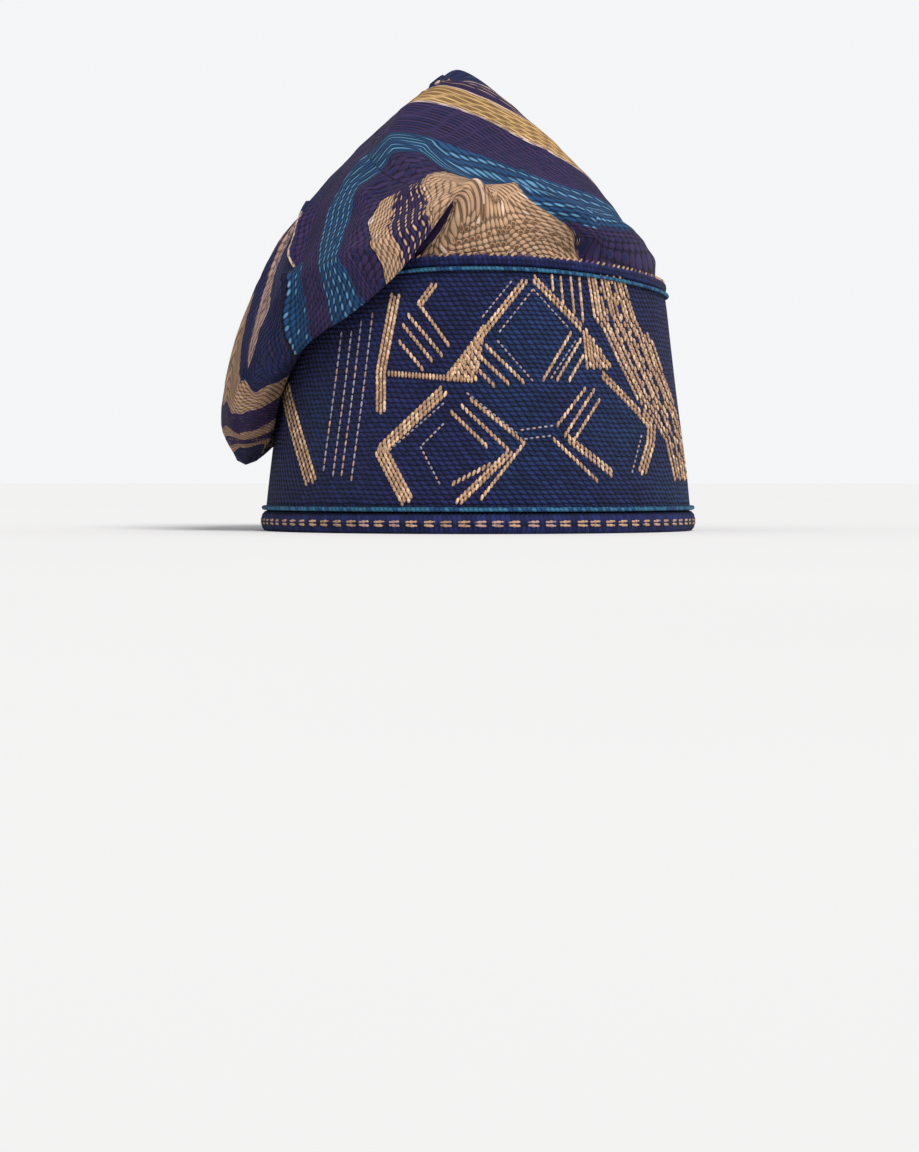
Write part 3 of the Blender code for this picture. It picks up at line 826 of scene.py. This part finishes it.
def rowPlaces(points, stripes, chosen):
    # Returns a function that gives millimetres across the stripes for stripe places, so that each stripe
    # keeps its own number of rows.
    stripeAlong, stripeAround = gridSteps(stripes)
    e, f, g = gridMeasures(points)[2:]
    squared = g * stripeAround**2 - 2 * f * stripeAround * stripeAlong + e * stripeAlong**2
    apart = 1.0 / np.sqrt(np.maximum(squared / np.maximum(e * g - f * f, 1e-6), 1e-6))
    edges = np.linspace(0.0, 1.0, spacing["places"])
    widths = []
    for low, high in zip(edges, edges[1:]):
        inside = chosen & (stripes >= low - spacing["reach"]) & (stripes < high + spacing["reach"])
        widths.append(np.median(apart[inside]) if inside.sum() > spacing["points"] else spacing["otherwise"])
    reached = np.append(0.0, np.cumsum(widths)) * (edges[1] - edges[0])
    return lambda places: np.interp(places, edges, reached)


def chartYarns(tree, chart, place):
    # The two yarns of a chart at a stripe place, with the share of the second as their alpha.
    yarnPair = []
    for column in (1, 2):
        node = addNode(tree, "ShaderNodeValToRGB", {0: place})
        ramp = node.color_ramp
        ramp.interpolation = "CONSTANT"
        for k, row in enumerate(chart):
            stop = ramp.elements[0] if k == 0 else ramp.elements.new(row[0])
            stop.color = (*yarns[row[column]][:3], row[3])
        ramp.elements.remove(ramp.elements[-1])
        yarnPair.append(node.outputs)
    return yarnPair


def makeCrownMaterial():
    material, tree, sockets = newMaterial("stripedCloth")
    ways = addNode(tree, "ShaderNodeSeparateXYZ", {0: readWays(tree)}).outputs
    past = over(tree, readField(tree, "past"), 0.0)
    stripe, rows = (blendValue(tree, past, readField(tree, name), readField(tree, name + "Past"))
                    for name in ("stripe", "rows"))
    across = blendValue(tree, over(tree, stripe, charts["plainUpTo"]), ways[1], rows)
    stitch = useGroup(tree, stitchRows, {
        "Place": addNode(tree, "ShaderNodeCombineXYZ", {0: ways[0], 1: across, 2: 0.0}).outputs[0],
        "Row Height": crown["rowHeight"], "Stitch Length": crown["stitchLength"], "Slant": crown["slant"],
        "Wobble": crown["wobble"]})
    shift = times(tree, calc(tree, "SUBTRACT", stitch["Tone"], 0.5), charts["ragged"])
    place = add(tree, stripe, shift)
    sides = []
    for chart in (frontStripes, flapStripes):
        first, second = chartYarns(tree, chart, place)
        # The second yarn shows on odd rows and only on each stitch's raised middle: real dots, and with the
        # light yarns a painted highlight on the stitch tops.
        dotsAndCrownHighlight = times(tree, calc(tree, "LESS_THAN", stitch["Run"], second["Alpha"]), stitch["Odd Row"])
        dotsAndCrownHighlight = times(tree, dotsAndCrownHighlight, between(tree, stitch["Height"], *charts["dotsAndHighlight"]))
        sides.append(blendColour(tree, dotsAndCrownHighlight, first["Color"], second["Color"]))
    # Above the pleat neither its line nor the blue beside it is seen, and navy stands in the line's place as
    # painted shadow of the fold; the rose stripe ends before the fold's underside.
    flap = readField(tree, "flap")
    pleatFrom = times(tree, over(tree, flap, charts["pleat"]), charts["pleatWidth"])
    pleatFrom = add(tree, charts["pleatFrom"], pleatFrom)
    seen = calc(tree, "MAXIMUM", over(tree, flap, charts["lower"]), over(tree, place, pleatFrom))
    colour = blendColour(tree, times(tree, over(tree, flap, charts["upper"]), seen), *sides)
    upper = times(tree, calc(tree, "LESS_THAN", flap, charts["pleat"]), over(tree, flap, charts["upper"]))
    rose, pleat = (calc(tree, "COMPARE", place, *charts[name]) for name in ("roseAt", "pleatShadowAt"))
    rose = times(tree, rose, over(tree, flap, charts["under"]))
    # painted shadow: navy along the pleat's line above the pleat
    roseNavyAndPleatShadow = calc(tree, "MAXIMUM", rose, times(tree, pleat, upper))
    colour = blendColour(tree, roseNavyAndPleatShadow, colour, yarns["navy"])
    # the last number is how dark the painted shade between the crown's stitches is
    finishYarn(tree, sockets, colour, stitch, crown["relief"], 0.35, 0.66)
    return material


def crownStripes(ways, column):
    # The stripe places of the fine rings, with those past the nose's edge and how far past it each point is.
    stripes = np.array([ringStripes(way, column) for way in ways])
    for _ in range(charts["smoothing"]):
        stripes = (stripes * 2 + np.roll(stripes, 1, axis=1) + np.roll(stripes, -1, axis=1)) / 4
        stripes[1:-1] = (stripes[1:-1] * 6 + stripes[2:] + stripes[:-2]) / 8
    past = ways[:, None] - np.interp(column, *np.array(crestWays).T)
    beside, beyond = (np.interp(column, charts[name], (0.0, 1.0, 1.0, 0.0)) for name in ("beside", "beyond"))
    blue = np.interp(ways, *np.array(blueWays).T)[:, None]
    least = (charts["least"] + beside * (blue - charts["least"])
             + beyond * charts["growth"] * np.clip(past, 0.0, charts["grows"]))
    return stripes, np.maximum(stripes, least), past


def makeCrown():
    steps, fineSteps = crown["steps"], crown["steps"] * crown["finerAround"]
    rings = finer(np.swapaxes(crownRings(), 0, 1), crown["finerAround"], True)
    rings = finer(np.swapaxes(rings, 0, 1), crown["finerAlong"], False)
    rows, columns = rings.shape[:2]
    column = np.arange(columns) / steps / crown["finerAround"]
    ways = np.interp(np.arange(rows) / crown["finerAlong"], np.arange(len(crown["ways"])), crown["ways"])
    inward = inwardOf(rings)
    dents = sunkBy(rings, crownCreases)
    for depth, size in crown["dents"]:
        dents += np.array([[depth * noise.noise(Vector(p) / size) for p in ring] for ring in rings])
    free = np.clip((rings[:, :, 2] - crown["seamHeight"] - crown["freeOver"]) / 8.0, 0.0, 1.0)
    outer = np.clip(np.maximum(crown["outerTo"] - column, column - crown["outerFrom"]), 0.0, 1.0)
    hanging = (ways >= crown["dentsFrom"])[:, None]
    rings = rings + inward * (dents * outer * np.where(hanging, 1.0, free))[:, :, None]

    stripes, stripesPast, past = crownStripes(ways, column)
    slopes = [np.where(past > 0.0, *pair) for pair in zip(gridSteps(stripesPast), gridSteps(stripes))]
    wayAlong, wayAcross = layRows(rings, slopes, crown["cutStation"] * fineSteps)
    print("crown flattened for its rows of stitches")
    upperFrom, lowerFrom, flapTo = charts["flapStations"]
    flapFrom = np.where(ways < charts["flapWay"], upperFrom, lowerFrom)[:, None]
    flap = (column <= flapTo) & (column >= flapFrom) | (stripes > charts["endPlace"])
    visible = (outer > 0.5) & (ways > crown["shownFrom"])[:, None]
    shown = np.where(past > 0.0, stripesPast, stripes)
    hangingRows, frontRows = (rowPlaces(rings, shown, side & visible) for side in (flap, ~flap))
    fields = {
        "stripe": stripes, "stripePast": stripesPast, "past": past,
        "flap": flap * np.interp(column, *np.array(charts["levels"]).T),
        "rows": np.where(flap, hangingRows(stripes), frontRows(stripes)),
        "rowsPast": np.where(flap, hangingRows(stripesPast), frontRows(stripesPast)),
    }

    points = [((x + rimCentreX) * mm, y * mm, z * mm) for x, y, z in (*rings.reshape(-1, 3), crown["tip"])]
    tip, last = rows * columns, (rows - 1) * columns
    faces = [face[::-1] for face in loopFaces(rows, columns)]
    faces += [(tip, last + (c + 1) % columns, last + c) for c in range(columns)]
    piece = newPiece("crownCloth", points, faces, makeCrownMaterial())
    mesh = piece.data
    for name, values in fields.items():
        field = mesh.attributes.new(name, "FLOAT", "POINT")
        field.data.foreach_set("value", np.append(values.ravel(), values[-1, 0]))
    layer = mesh.uv_layers.new(name="clothWays")
    loops = np.zeros(len(mesh.loops), int)
    mesh.loops.foreach_get("vertex_index", loops)
    flat = np.stack([np.append(way.ravel(), way[-1].mean()) for way in (wayAlong, wayAcross)], axis=1)
    layer.data.foreach_set("uv", flat[loops].astype(np.float32).ravel())
    wall = piece.modifiers.new("wall", "SOLIDIFY")
    wall.thickness = crown["wall"] * mm
    wall.offset = -1
    wall.use_quality_normals = True
    bpy.ops.object.select_all(action="DESELECT")
    piece.select_set(True)
    bpy.context.view_layer.objects.active = piece
    bpy.ops.object.modifier_apply(modifier=wall.name)
    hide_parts("crown")
    return piece


crownCloth = makeCrown()
print("crown ready")


# Stitches, each copied from one modelled bead of yarn

def makeYarnBead():
    bpy.ops.object.select_all(action="DESELECT")
    bpy.ops.mesh.primitive_uv_sphere_add(segments=6, ring_count=4, radius=0.5)
    bead = bpy.context.object
    bpy.ops.object.mode_set(mode="EDIT")
    bpy.ops.mesh.select_all(action="SELECT")
    bpy.ops.transform.rotate(value=math.pi / 2, orient_axis="Y", center_override=(0, 0, 0))
    bpy.ops.object.mode_set(mode="OBJECT")
    shape = np.array([v.co[:] for v in bead.data.vertices])
    faces = [tuple(p.vertices) for p in bead.data.polygons]
    bpy.data.objects.remove(bead)
    return shape, faces


beadShape, beadFaces = makeYarnBead()


def layStitches(name, stitches, material):
    # Each stitch is its middle, the way it runs, the way out of the cloth, length, width and thickness in mm,
    # and tone.
    points, faces, tones = [], [], []
    for k, (middle, along, out, length, width, thick, tone) in enumerate(stitches):
        side = out.cross(along).normalized()
        turn = np.array([along[:], side[:], out[:]])
        points.append(beadShape * np.array([length, width, thick]) * mm @ turn + np.array(middle[:]))
        faces += [tuple(v + k * len(beadShape) for v in face) for face in beadFaces]
        tones += [tone] * len(beadShape)
    piece = newPiece(name, np.concatenate(points), faces, material)
    piece.data.attributes.new("tone", "FLOAT", "POINT").data.foreach_set("value", tones)
    return piece


def makeThreadMaterial(name, colour, second):
    material, tree, sockets = newMaterial(name)
    tone = readField(tree, "tone")
    strand = cloudy(tree, objectPlace(tree), 900.0, 1.0)
    mixed = blendColour(tree, over(tree, tone, 0.72), yarns[colour], yarns[second])
    # painted shade: the thread is darker where its fibre relief is low; the last number below is how dark
    thread = {"Tone": tone, "Gap Shade": between(tree, strand, 0.62, 0.30), "Height": strand}
    finishYarn(tree, sockets, mixed, thread, 0.0003, 0.45, 0.45)
    return material


def chance(*key):
    return 0.5 + 0.5 * noise.cell(Vector(tuple(key) + (0.37,) * (3 - len(key))))


# The band

def makeBandMaterial():
    material, tree, sockets = newMaterial("brocade")
    stitch = useGroup(tree, stitchRows, {
        "Place": readWays(tree), "Row Height": 1.9, "Stitch Length": 3.2, "Slant": 0.5, "Stagger": 0.43,
        "Wobble": 2.2})
    where = objectPlace(tree)
    patch = between(tree, cloudy(tree, where, 22.0), 0.4, 0.65)
    blues = times(tree, between(tree, cloudy(tree, where, 13.0), 0.5, 0.7), 0.35)
    ground = blendColour(tree, patch, yarns["indigo"], yarns["navy"])
    ground = blendColour(tree, blues, ground, yarns["blue"])
    # the last number is how dark the painted shade between the band's seeds is
    finishYarn(tree, sockets, ground, stitch, 0.0015, 0.6, 0.72)
    return material


def makeBand():
    columns, rows = band["columns"], band["rows"]
    columnWidth = math.pi * (band["halfWidth"] + band["halfDepth"]) / columns * 0.97
    points, ways = [], []
    for out, order in ((0.0, range(rows)), (-band["wall"], reversed(range(rows)))):
        for row in order:
            for c in range(columns):
                angle = 2 * math.pi * c / columns
                height = band["bottom"] + (bandTop(angle) - band["bottom"]) * row / (rows - 1)
                points.append(onBand(angle, height, out))
                ways.append((c * columnWidth, height))
    piece = newPiece("bandCloth", points, loopFaces(2 * rows, columns, True), makeBandMaterial())
    layWays(piece, ways, columns, columns * columnWidth)
    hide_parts("band")
    return piece


bandCloth = makeBand()
print("band ready")

# The woven figures of the front panel, in near upright stitches: kind, rows of stitches side by side, then
# points as millimetres across from the middle and up from the rim.
bandFigures = (
    ("bold", 3, ((-33, 94), (-38.8, 64), (-38.8, 47.5))),
    ("bar", 1, ((-36, 63), (-2, 60))),
    ("bold", 2, ((-12, 61.5), (18, 99.5))),
    ("bold", 2, ((21, 100.5), (40.5, 81))),
    ("fine", 1, ((21, 96), (7, 78))),
    ("fine", 1, ((21, 96), (35.5, 80.5))),
    ("fine", 1, ((12.5, 99), (0.5, 84))),
    ("fine", 1, ((7, 75.5), (21.5, 59))),
    ("bold", 1, ((2.5, 73.5), (18, 58.5))),
    ("bold", 1, ((0.5, 69), (12, 58))),
    ("bold", 1, ((0, 63.5), (6.5, 57))),
    ("bold", 1, ((36, 79), (24.5, 59.5))),
    ("fine", 1, ((38, 76), (27.5, 60))),
    ("bold", 1, ((40, 76.5), (30, 59.5))),
    ("bold", 1, ((41, 70), (35, 59.5))),
    ("bold", 2, ((-17.5, 98), (-23.5, 90))),
    ("bold", 1, ((-23.5, 90), (-11.5, 73))),
    ("bold", 1, ((-28, 86), (-14, 69))),
    ("bold", 1, ((-30, 82), (-18, 67))),
    ("bold", 1, ((-31.5, 75.5), (-21.5, 63.5))),
    ("bold", 1, ((28.5, 101.5), (29, 95))),
    ("bold", 1, ((32, 101), (33, 89.5))),
    ("bold", 1, ((36, 101), (37.5, 86))),
    ("bold", 1, ((39.5, 101), (41, 83))),
    ("bold", 3, ((-14, 56), (-39, 32.5))),
    ("bold", 4, ((-39, 33.5), (-28, 12.5))),
    ("fine", 1, ((-14, 51), (-36, 32), (-26.5, 15))),
    ("fine", 1, ((-14, 43), (-23, 34), (-15, 18.5))),
    ("fine", 1, ((-5, 55), (15.5, 38.5))),
    ("bold", 1, ((-3.5, 52.5), (17.5, 35.5), (0, 13))),
    ("bold", 1, ((-7, 50), (12, 32))),
    ("bold", 2, ((12, 32), (-8.5, 12))),
    ("bold", 1, ((-11, 47.5), (3.5, 33.5))),
    ("bold", 1, ((4, 27), (-11.5, 19))),
    ("fine", 1, ((16, 40.5), (30, 42.5))),
    ("fine", 1, ((17.5, 37), (29, 38.5))),
    ("bold", 1, ((30.5, 42.5), (42.5, 58))),
    ("bold", 1, ((33.5, 38.5), (46, 57.5))),
    ("bold", 1, ((37, 36.5), (48, 53.5))),
    ("bold", 1, ((29, 37), (47, 20))),
    ("bold", 2, ((34.5, 37.5), (52.5, 23.5))),
    ("bold", 2, ((48.5, 63), (64.5, 47.5))),
    ("bold", 3, ((65, 48), (69.5, 43), (69, 36), (65, 23.5))),
    ("fine", 1, ((65, 39), (60.5, 23))),
    ("dash", 1, ((-54.5, 80), (-62, 23.5))),
    ("dash", 1, ((-50.5, 80), (-58, 21.5))),
    ("dash", 1, ((-46.5, 84), (-54.5, 21.5))),
    ("dash", 1, ((-42, 87), (-50.5, 19.5))),
    ("bold", 4, ((-80, 60), (-67, 20))),
)
# How far apart the stitches of a kind are, and their length, width and thickness.
figureKinds = {
    "bold": (2.1, 2.9, 1.3, 1.25), "bar": (1.35, 2.6, 1.25, 1.2), "dash": (3.0, 2.7, 0.9, 0.8),
    "fine": (2.2, 1.6, 0.9, 0.8),
}
figureRows = {"apart": 1.45, "wide": 3, "wideStitch": 1.5, "underTop": 2.5}
fieldRows = {"apart": 1.42, "rise": 1.9, "stagger": 0.9, "from": 0.8, "size": (2.7, 1.35, 1.2)}
# Solid fields of tan stitches: the left and right edge of each field, from the top down.
bandFields = (
    (((42.5, 102), (45, 86), (48.5, 82), (54.5, 69.5), (62.5, 54), (69, 47.5), (75.5, 37), (79.5, 21)),
     ((58.5, 100.5), (65, 81), (70.5, 78), (75.5, 64.5), (79.5, 56), (83, 45), (85, 36), (87, 21))),
    (((0.5, 80), (-13.5, 60)), ((2, 78), (-1, 60))),
    (((40.5, 81), (42, 65)), ((41.5, 81), (52.5, 66.5))),
)


def angleAcross(across, height, back):
    # The angle at which a place on the panel lies this far from the cap's middle, as seen from the front.
    share = max(-0.999, min(0.999, across / float(bandHalfSizes(height)[0])))
    return math.pi / 2 + math.asin(share) if back else -math.pi / 2 + math.asin(share)


def panelStitches(back):
    # The stitches of one panel: those of the figures and fields, and those of the fine dotted lines.
    figures, dots = [], []

    def place(across, height, dAcross, dHeight, size, key, into=figures):
        if height > bandTop(math.pi / 2 if back else -math.pi / 2) - figureRows["underTop"]:
            return
        angle = angleAcross(across, height, back)
        out = bandFrame(angle, height)[2]
        ahead = onBand(angleAcross(across + dAcross, height + dHeight, back), height + dHeight)
        ahead -= onBand(angle, height)
        ahead = (ahead - ahead.dot(out) * out).normalized()
        if ahead.length > 0.5:
            into.append((onBand(angle, height, 0.15), ahead, out, *size, chance(*key)))

    for n, (kind, rows, line) in enumerate(bandFigures):
        pitch, *size = figureKinds[kind]
        if kind == "bold" and rows >= figureRows["wide"]:
            size[1] = figureRows["wideStitch"]
        for (x0, h0), (x1, h1) in zip(line, line[1:]):
            length = math.hypot(x1 - x0, h1 - h0)
            dx, dh = (x1 - x0) / length, (h1 - h0) / length
            lean = math.copysign(1.0, dh) if abs(dh) > 0.2 else 1.0
            run = {"bar": (0.0, 0.5), "bold": (dx * lean * 0.42, dh * lean * 0.42 + 0.6)}.get(kind)
            run, into = (run, figures) if run else ((dx * 0.5, dh * 0.5), dots)
            count = max(2, round(length / pitch))
            for r in range(rows):
                aside = (r - (rows - 1) / 2) * figureRows["apart"]
                for k in range(count):
                    t = (k + 0.25 + 0.5 * (r % 2)) / count
                    x, h = x0 + (x1 - x0) * t + dh * aside, h0 + (h1 - h0) * t - dx * aside
                    place(x, h, *run, size, (n + 3.1, k + h0, x0 + r), into)
    for n, sides in enumerate(bandFields):
        left, right = (np.array(side, float)[::-1].T for side in sides)
        h, k = min(left[1, 0], right[1, 0]) + fieldRows["from"], 0
        while h < max(left[1, -1], right[1, -1]):
            x0, x1 = (np.interp(h, side[1], side[0]) for side in (left, right))
            count = int((x1 - x0) / fieldRows["apart"])
            for m in range(count + 1):
                x = x0 + (x1 - x0) * (m + 0.5) / (count + 1)
                # the widest field is open here and there
                if n == 0 and m in (count // 3, count * 2 // 3) and count > 5 and (k + m) % 3:
                    continue
                place(x, h + fieldRows["stagger"] * (m % 2), -0.1, 0.5, fieldRows["size"], (n + 40.3, k, m))
            h, k = h + fieldRows["rise"], k + 1
    return figures, dots


front, rear = panelStitches(False), panelStitches(True)
figures = layStitches("bandFigures", front[0] + rear[0], makeThreadMaterial("figureYarn", "tan", "cream"))
dots = layStitches("bandDots", front[1] + rear[1], makeThreadMaterial("dotYarn", "ash", "rose"))
print("band figures ready,", len(front[0] + rear[0]), "stitches")


# Hem roll and welt: ribbed rolls of cloth round the band

ribWidth = 1.6
hem = {"width": 5.6, "height": 8.5, "outset": 1.4, "sides": 14, "flat": 0.35, "ribs": 300, "ribDepth": 0.14,
       "lean": 2.0}
welt = {"width": 4.0, "height": 4.5, "outset": 0.8, "sides": 12, "flat": 0.3, "ribs": 260, "ribDepth": 0.16,
        "lean": 1.5, "lift": 0.3}
cord = {"sides": 8, "flat": 0.0, "ribs": 300, "ribDepth": 0.22, "lean": 1.0}


def makeRibMaterial(name, colour, second):
    material, tree, sockets = newMaterial(name)
    stitch = useGroup(tree, stitchRows, {
        "Place": readWays(tree), "Row Height": 3.3, "Stitch Length": ribWidth, "Slant": 0.0, "Stagger": 0.0,
        "Wobble": 0.15})
    mixed = blendColour(tree, over(tree, stitch["Tone"], 0.7), yarns[colour], yarns[second])
    # the last number is how dark the painted shade between the ribs is
    finishYarn(tree, sockets, mixed, stitch, 0.0004, 0.5, 0.6)
    return material


def roundSection(roll):
    # An oval section that may be flattened underneath: millimetres out from the band's face and up from the
    # roll's foot.
    section = []
    width, height, flat = roll["width"], roll["height"], roll["flat"]
    for k in range(roll["sides"]):
        turn = 2 * math.pi * k / roll["sides"] - math.pi / 2
        out, up = math.cos(turn) * width / 2, math.sin(turn) * height / 2 + height / 2
        section.append((out - width / 2 + roll["outset"], max(0.0, (up - flat) * height / (height - flat))))
    return section


def makeRoll(name, footAt, roll, material):
    # footAt gives the height of the roll's foot at an angle.
    section, steps, lean = roundSection(roll), 4, roll["lean"]
    columns = roll["ribs"] * steps
    count = len(section)
    middle = (sum(p[0] for p in section) / count, sum(p[1] for p in section) / count)
    points, ways = [], []
    for k, (out, up) in enumerate(section):
        for c in range(columns):
            angle = 2 * math.pi * c / columns
            rib = 0.5 + 0.5 * math.cos(2 * math.pi * (c / steps + lean * k / count))
            share = 1.0 - roll["ribDepth"] * (1.0 - rib) if up > 0.01 else 1.0
            o, u = middle[0] + (out - middle[0]) * share, middle[1] + (up - middle[1]) * share
            foot = footAt(angle)
            points.append(onOval(angle, foot, o, foot + u))
            ways.append(((c / steps + lean * k / count) * ribWidth, k * 1.1))
    piece = newPiece(name, points, loopFaces(count, columns, True), material)
    layWays(piece, ways, columns, roll["ribs"] * ribWidth)
    return piece


hemRoll = makeRoll("hemRoll", lambda angle: 0.0, hem, makeRibMaterial("hemCloth", "navy", "indigo"))
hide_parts("hem_roll")
topWelt = makeRoll("topWelt", lambda angle: bandTop(angle) + welt["lift"], welt,
                   makeRibMaterial("weltCloth", "navy", "indigo"))
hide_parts("top_welt")


def makeLine(name, middleAt, out, thick):
    # A thin corded line laid on the band.
    roll = {**cord, "width": thick, "height": thick, "outset": out + thick / 2}
    piece = makeRoll(name, lambda angle: middleAt(angle) - thick / 2, roll,
                     makeRibMaterial(name + "Yarn", "line", "blue"))


makeLine("hemLine", lambda angle: 9.6, 0.9, 1.9)
makeLine("weltLine", lambda angle: bandTop(angle) - 0.9, 0.8, 1.7)


def edgeStitches(count, heightAt, outset, length, width, thick, lean, key):
    stitches = []
    for k in range(count):
        angle = 2 * math.pi * (k + 0.15 * chance(k * 1.7, key)) / count
        height = heightAt(angle)
        around, up, out = bandFrame(angle, height)
        along = (around * math.cos(lean) + up * math.sin(lean)).normalized()
        stitches.append((onBand(angle, height, outset), along, out,
                         length * (0.94 + 0.12 * chance(k, key)), width, thick, chance(k * 2.3, key + 5)))
    return stitches


hemRows = (edgeStitches(84, lambda angle: 4.7, 1.35, 5.6, 1.3, 1.1, 0.05, 3.0)
           + edgeStitches(84, lambda angle: 3.3, 1.25, 5.4, 1.3, 1.1, -0.05, 3.0))
hemStitches = layStitches("hemStitches", hemRows, makeThreadMaterial("hemYarn", "tan", "rose"))
seamRow = edgeStitches(170, lambda angle: bandTop(angle) + 4.4, -0.4, 2.9, 1.1, 1.0, 0.7, 12.0)
seamStitches = layStitches("seamStitches", seamRow, makeThreadMaterial("seamYarn", "tan", "plum"))
print("rolls and edge stitches ready")
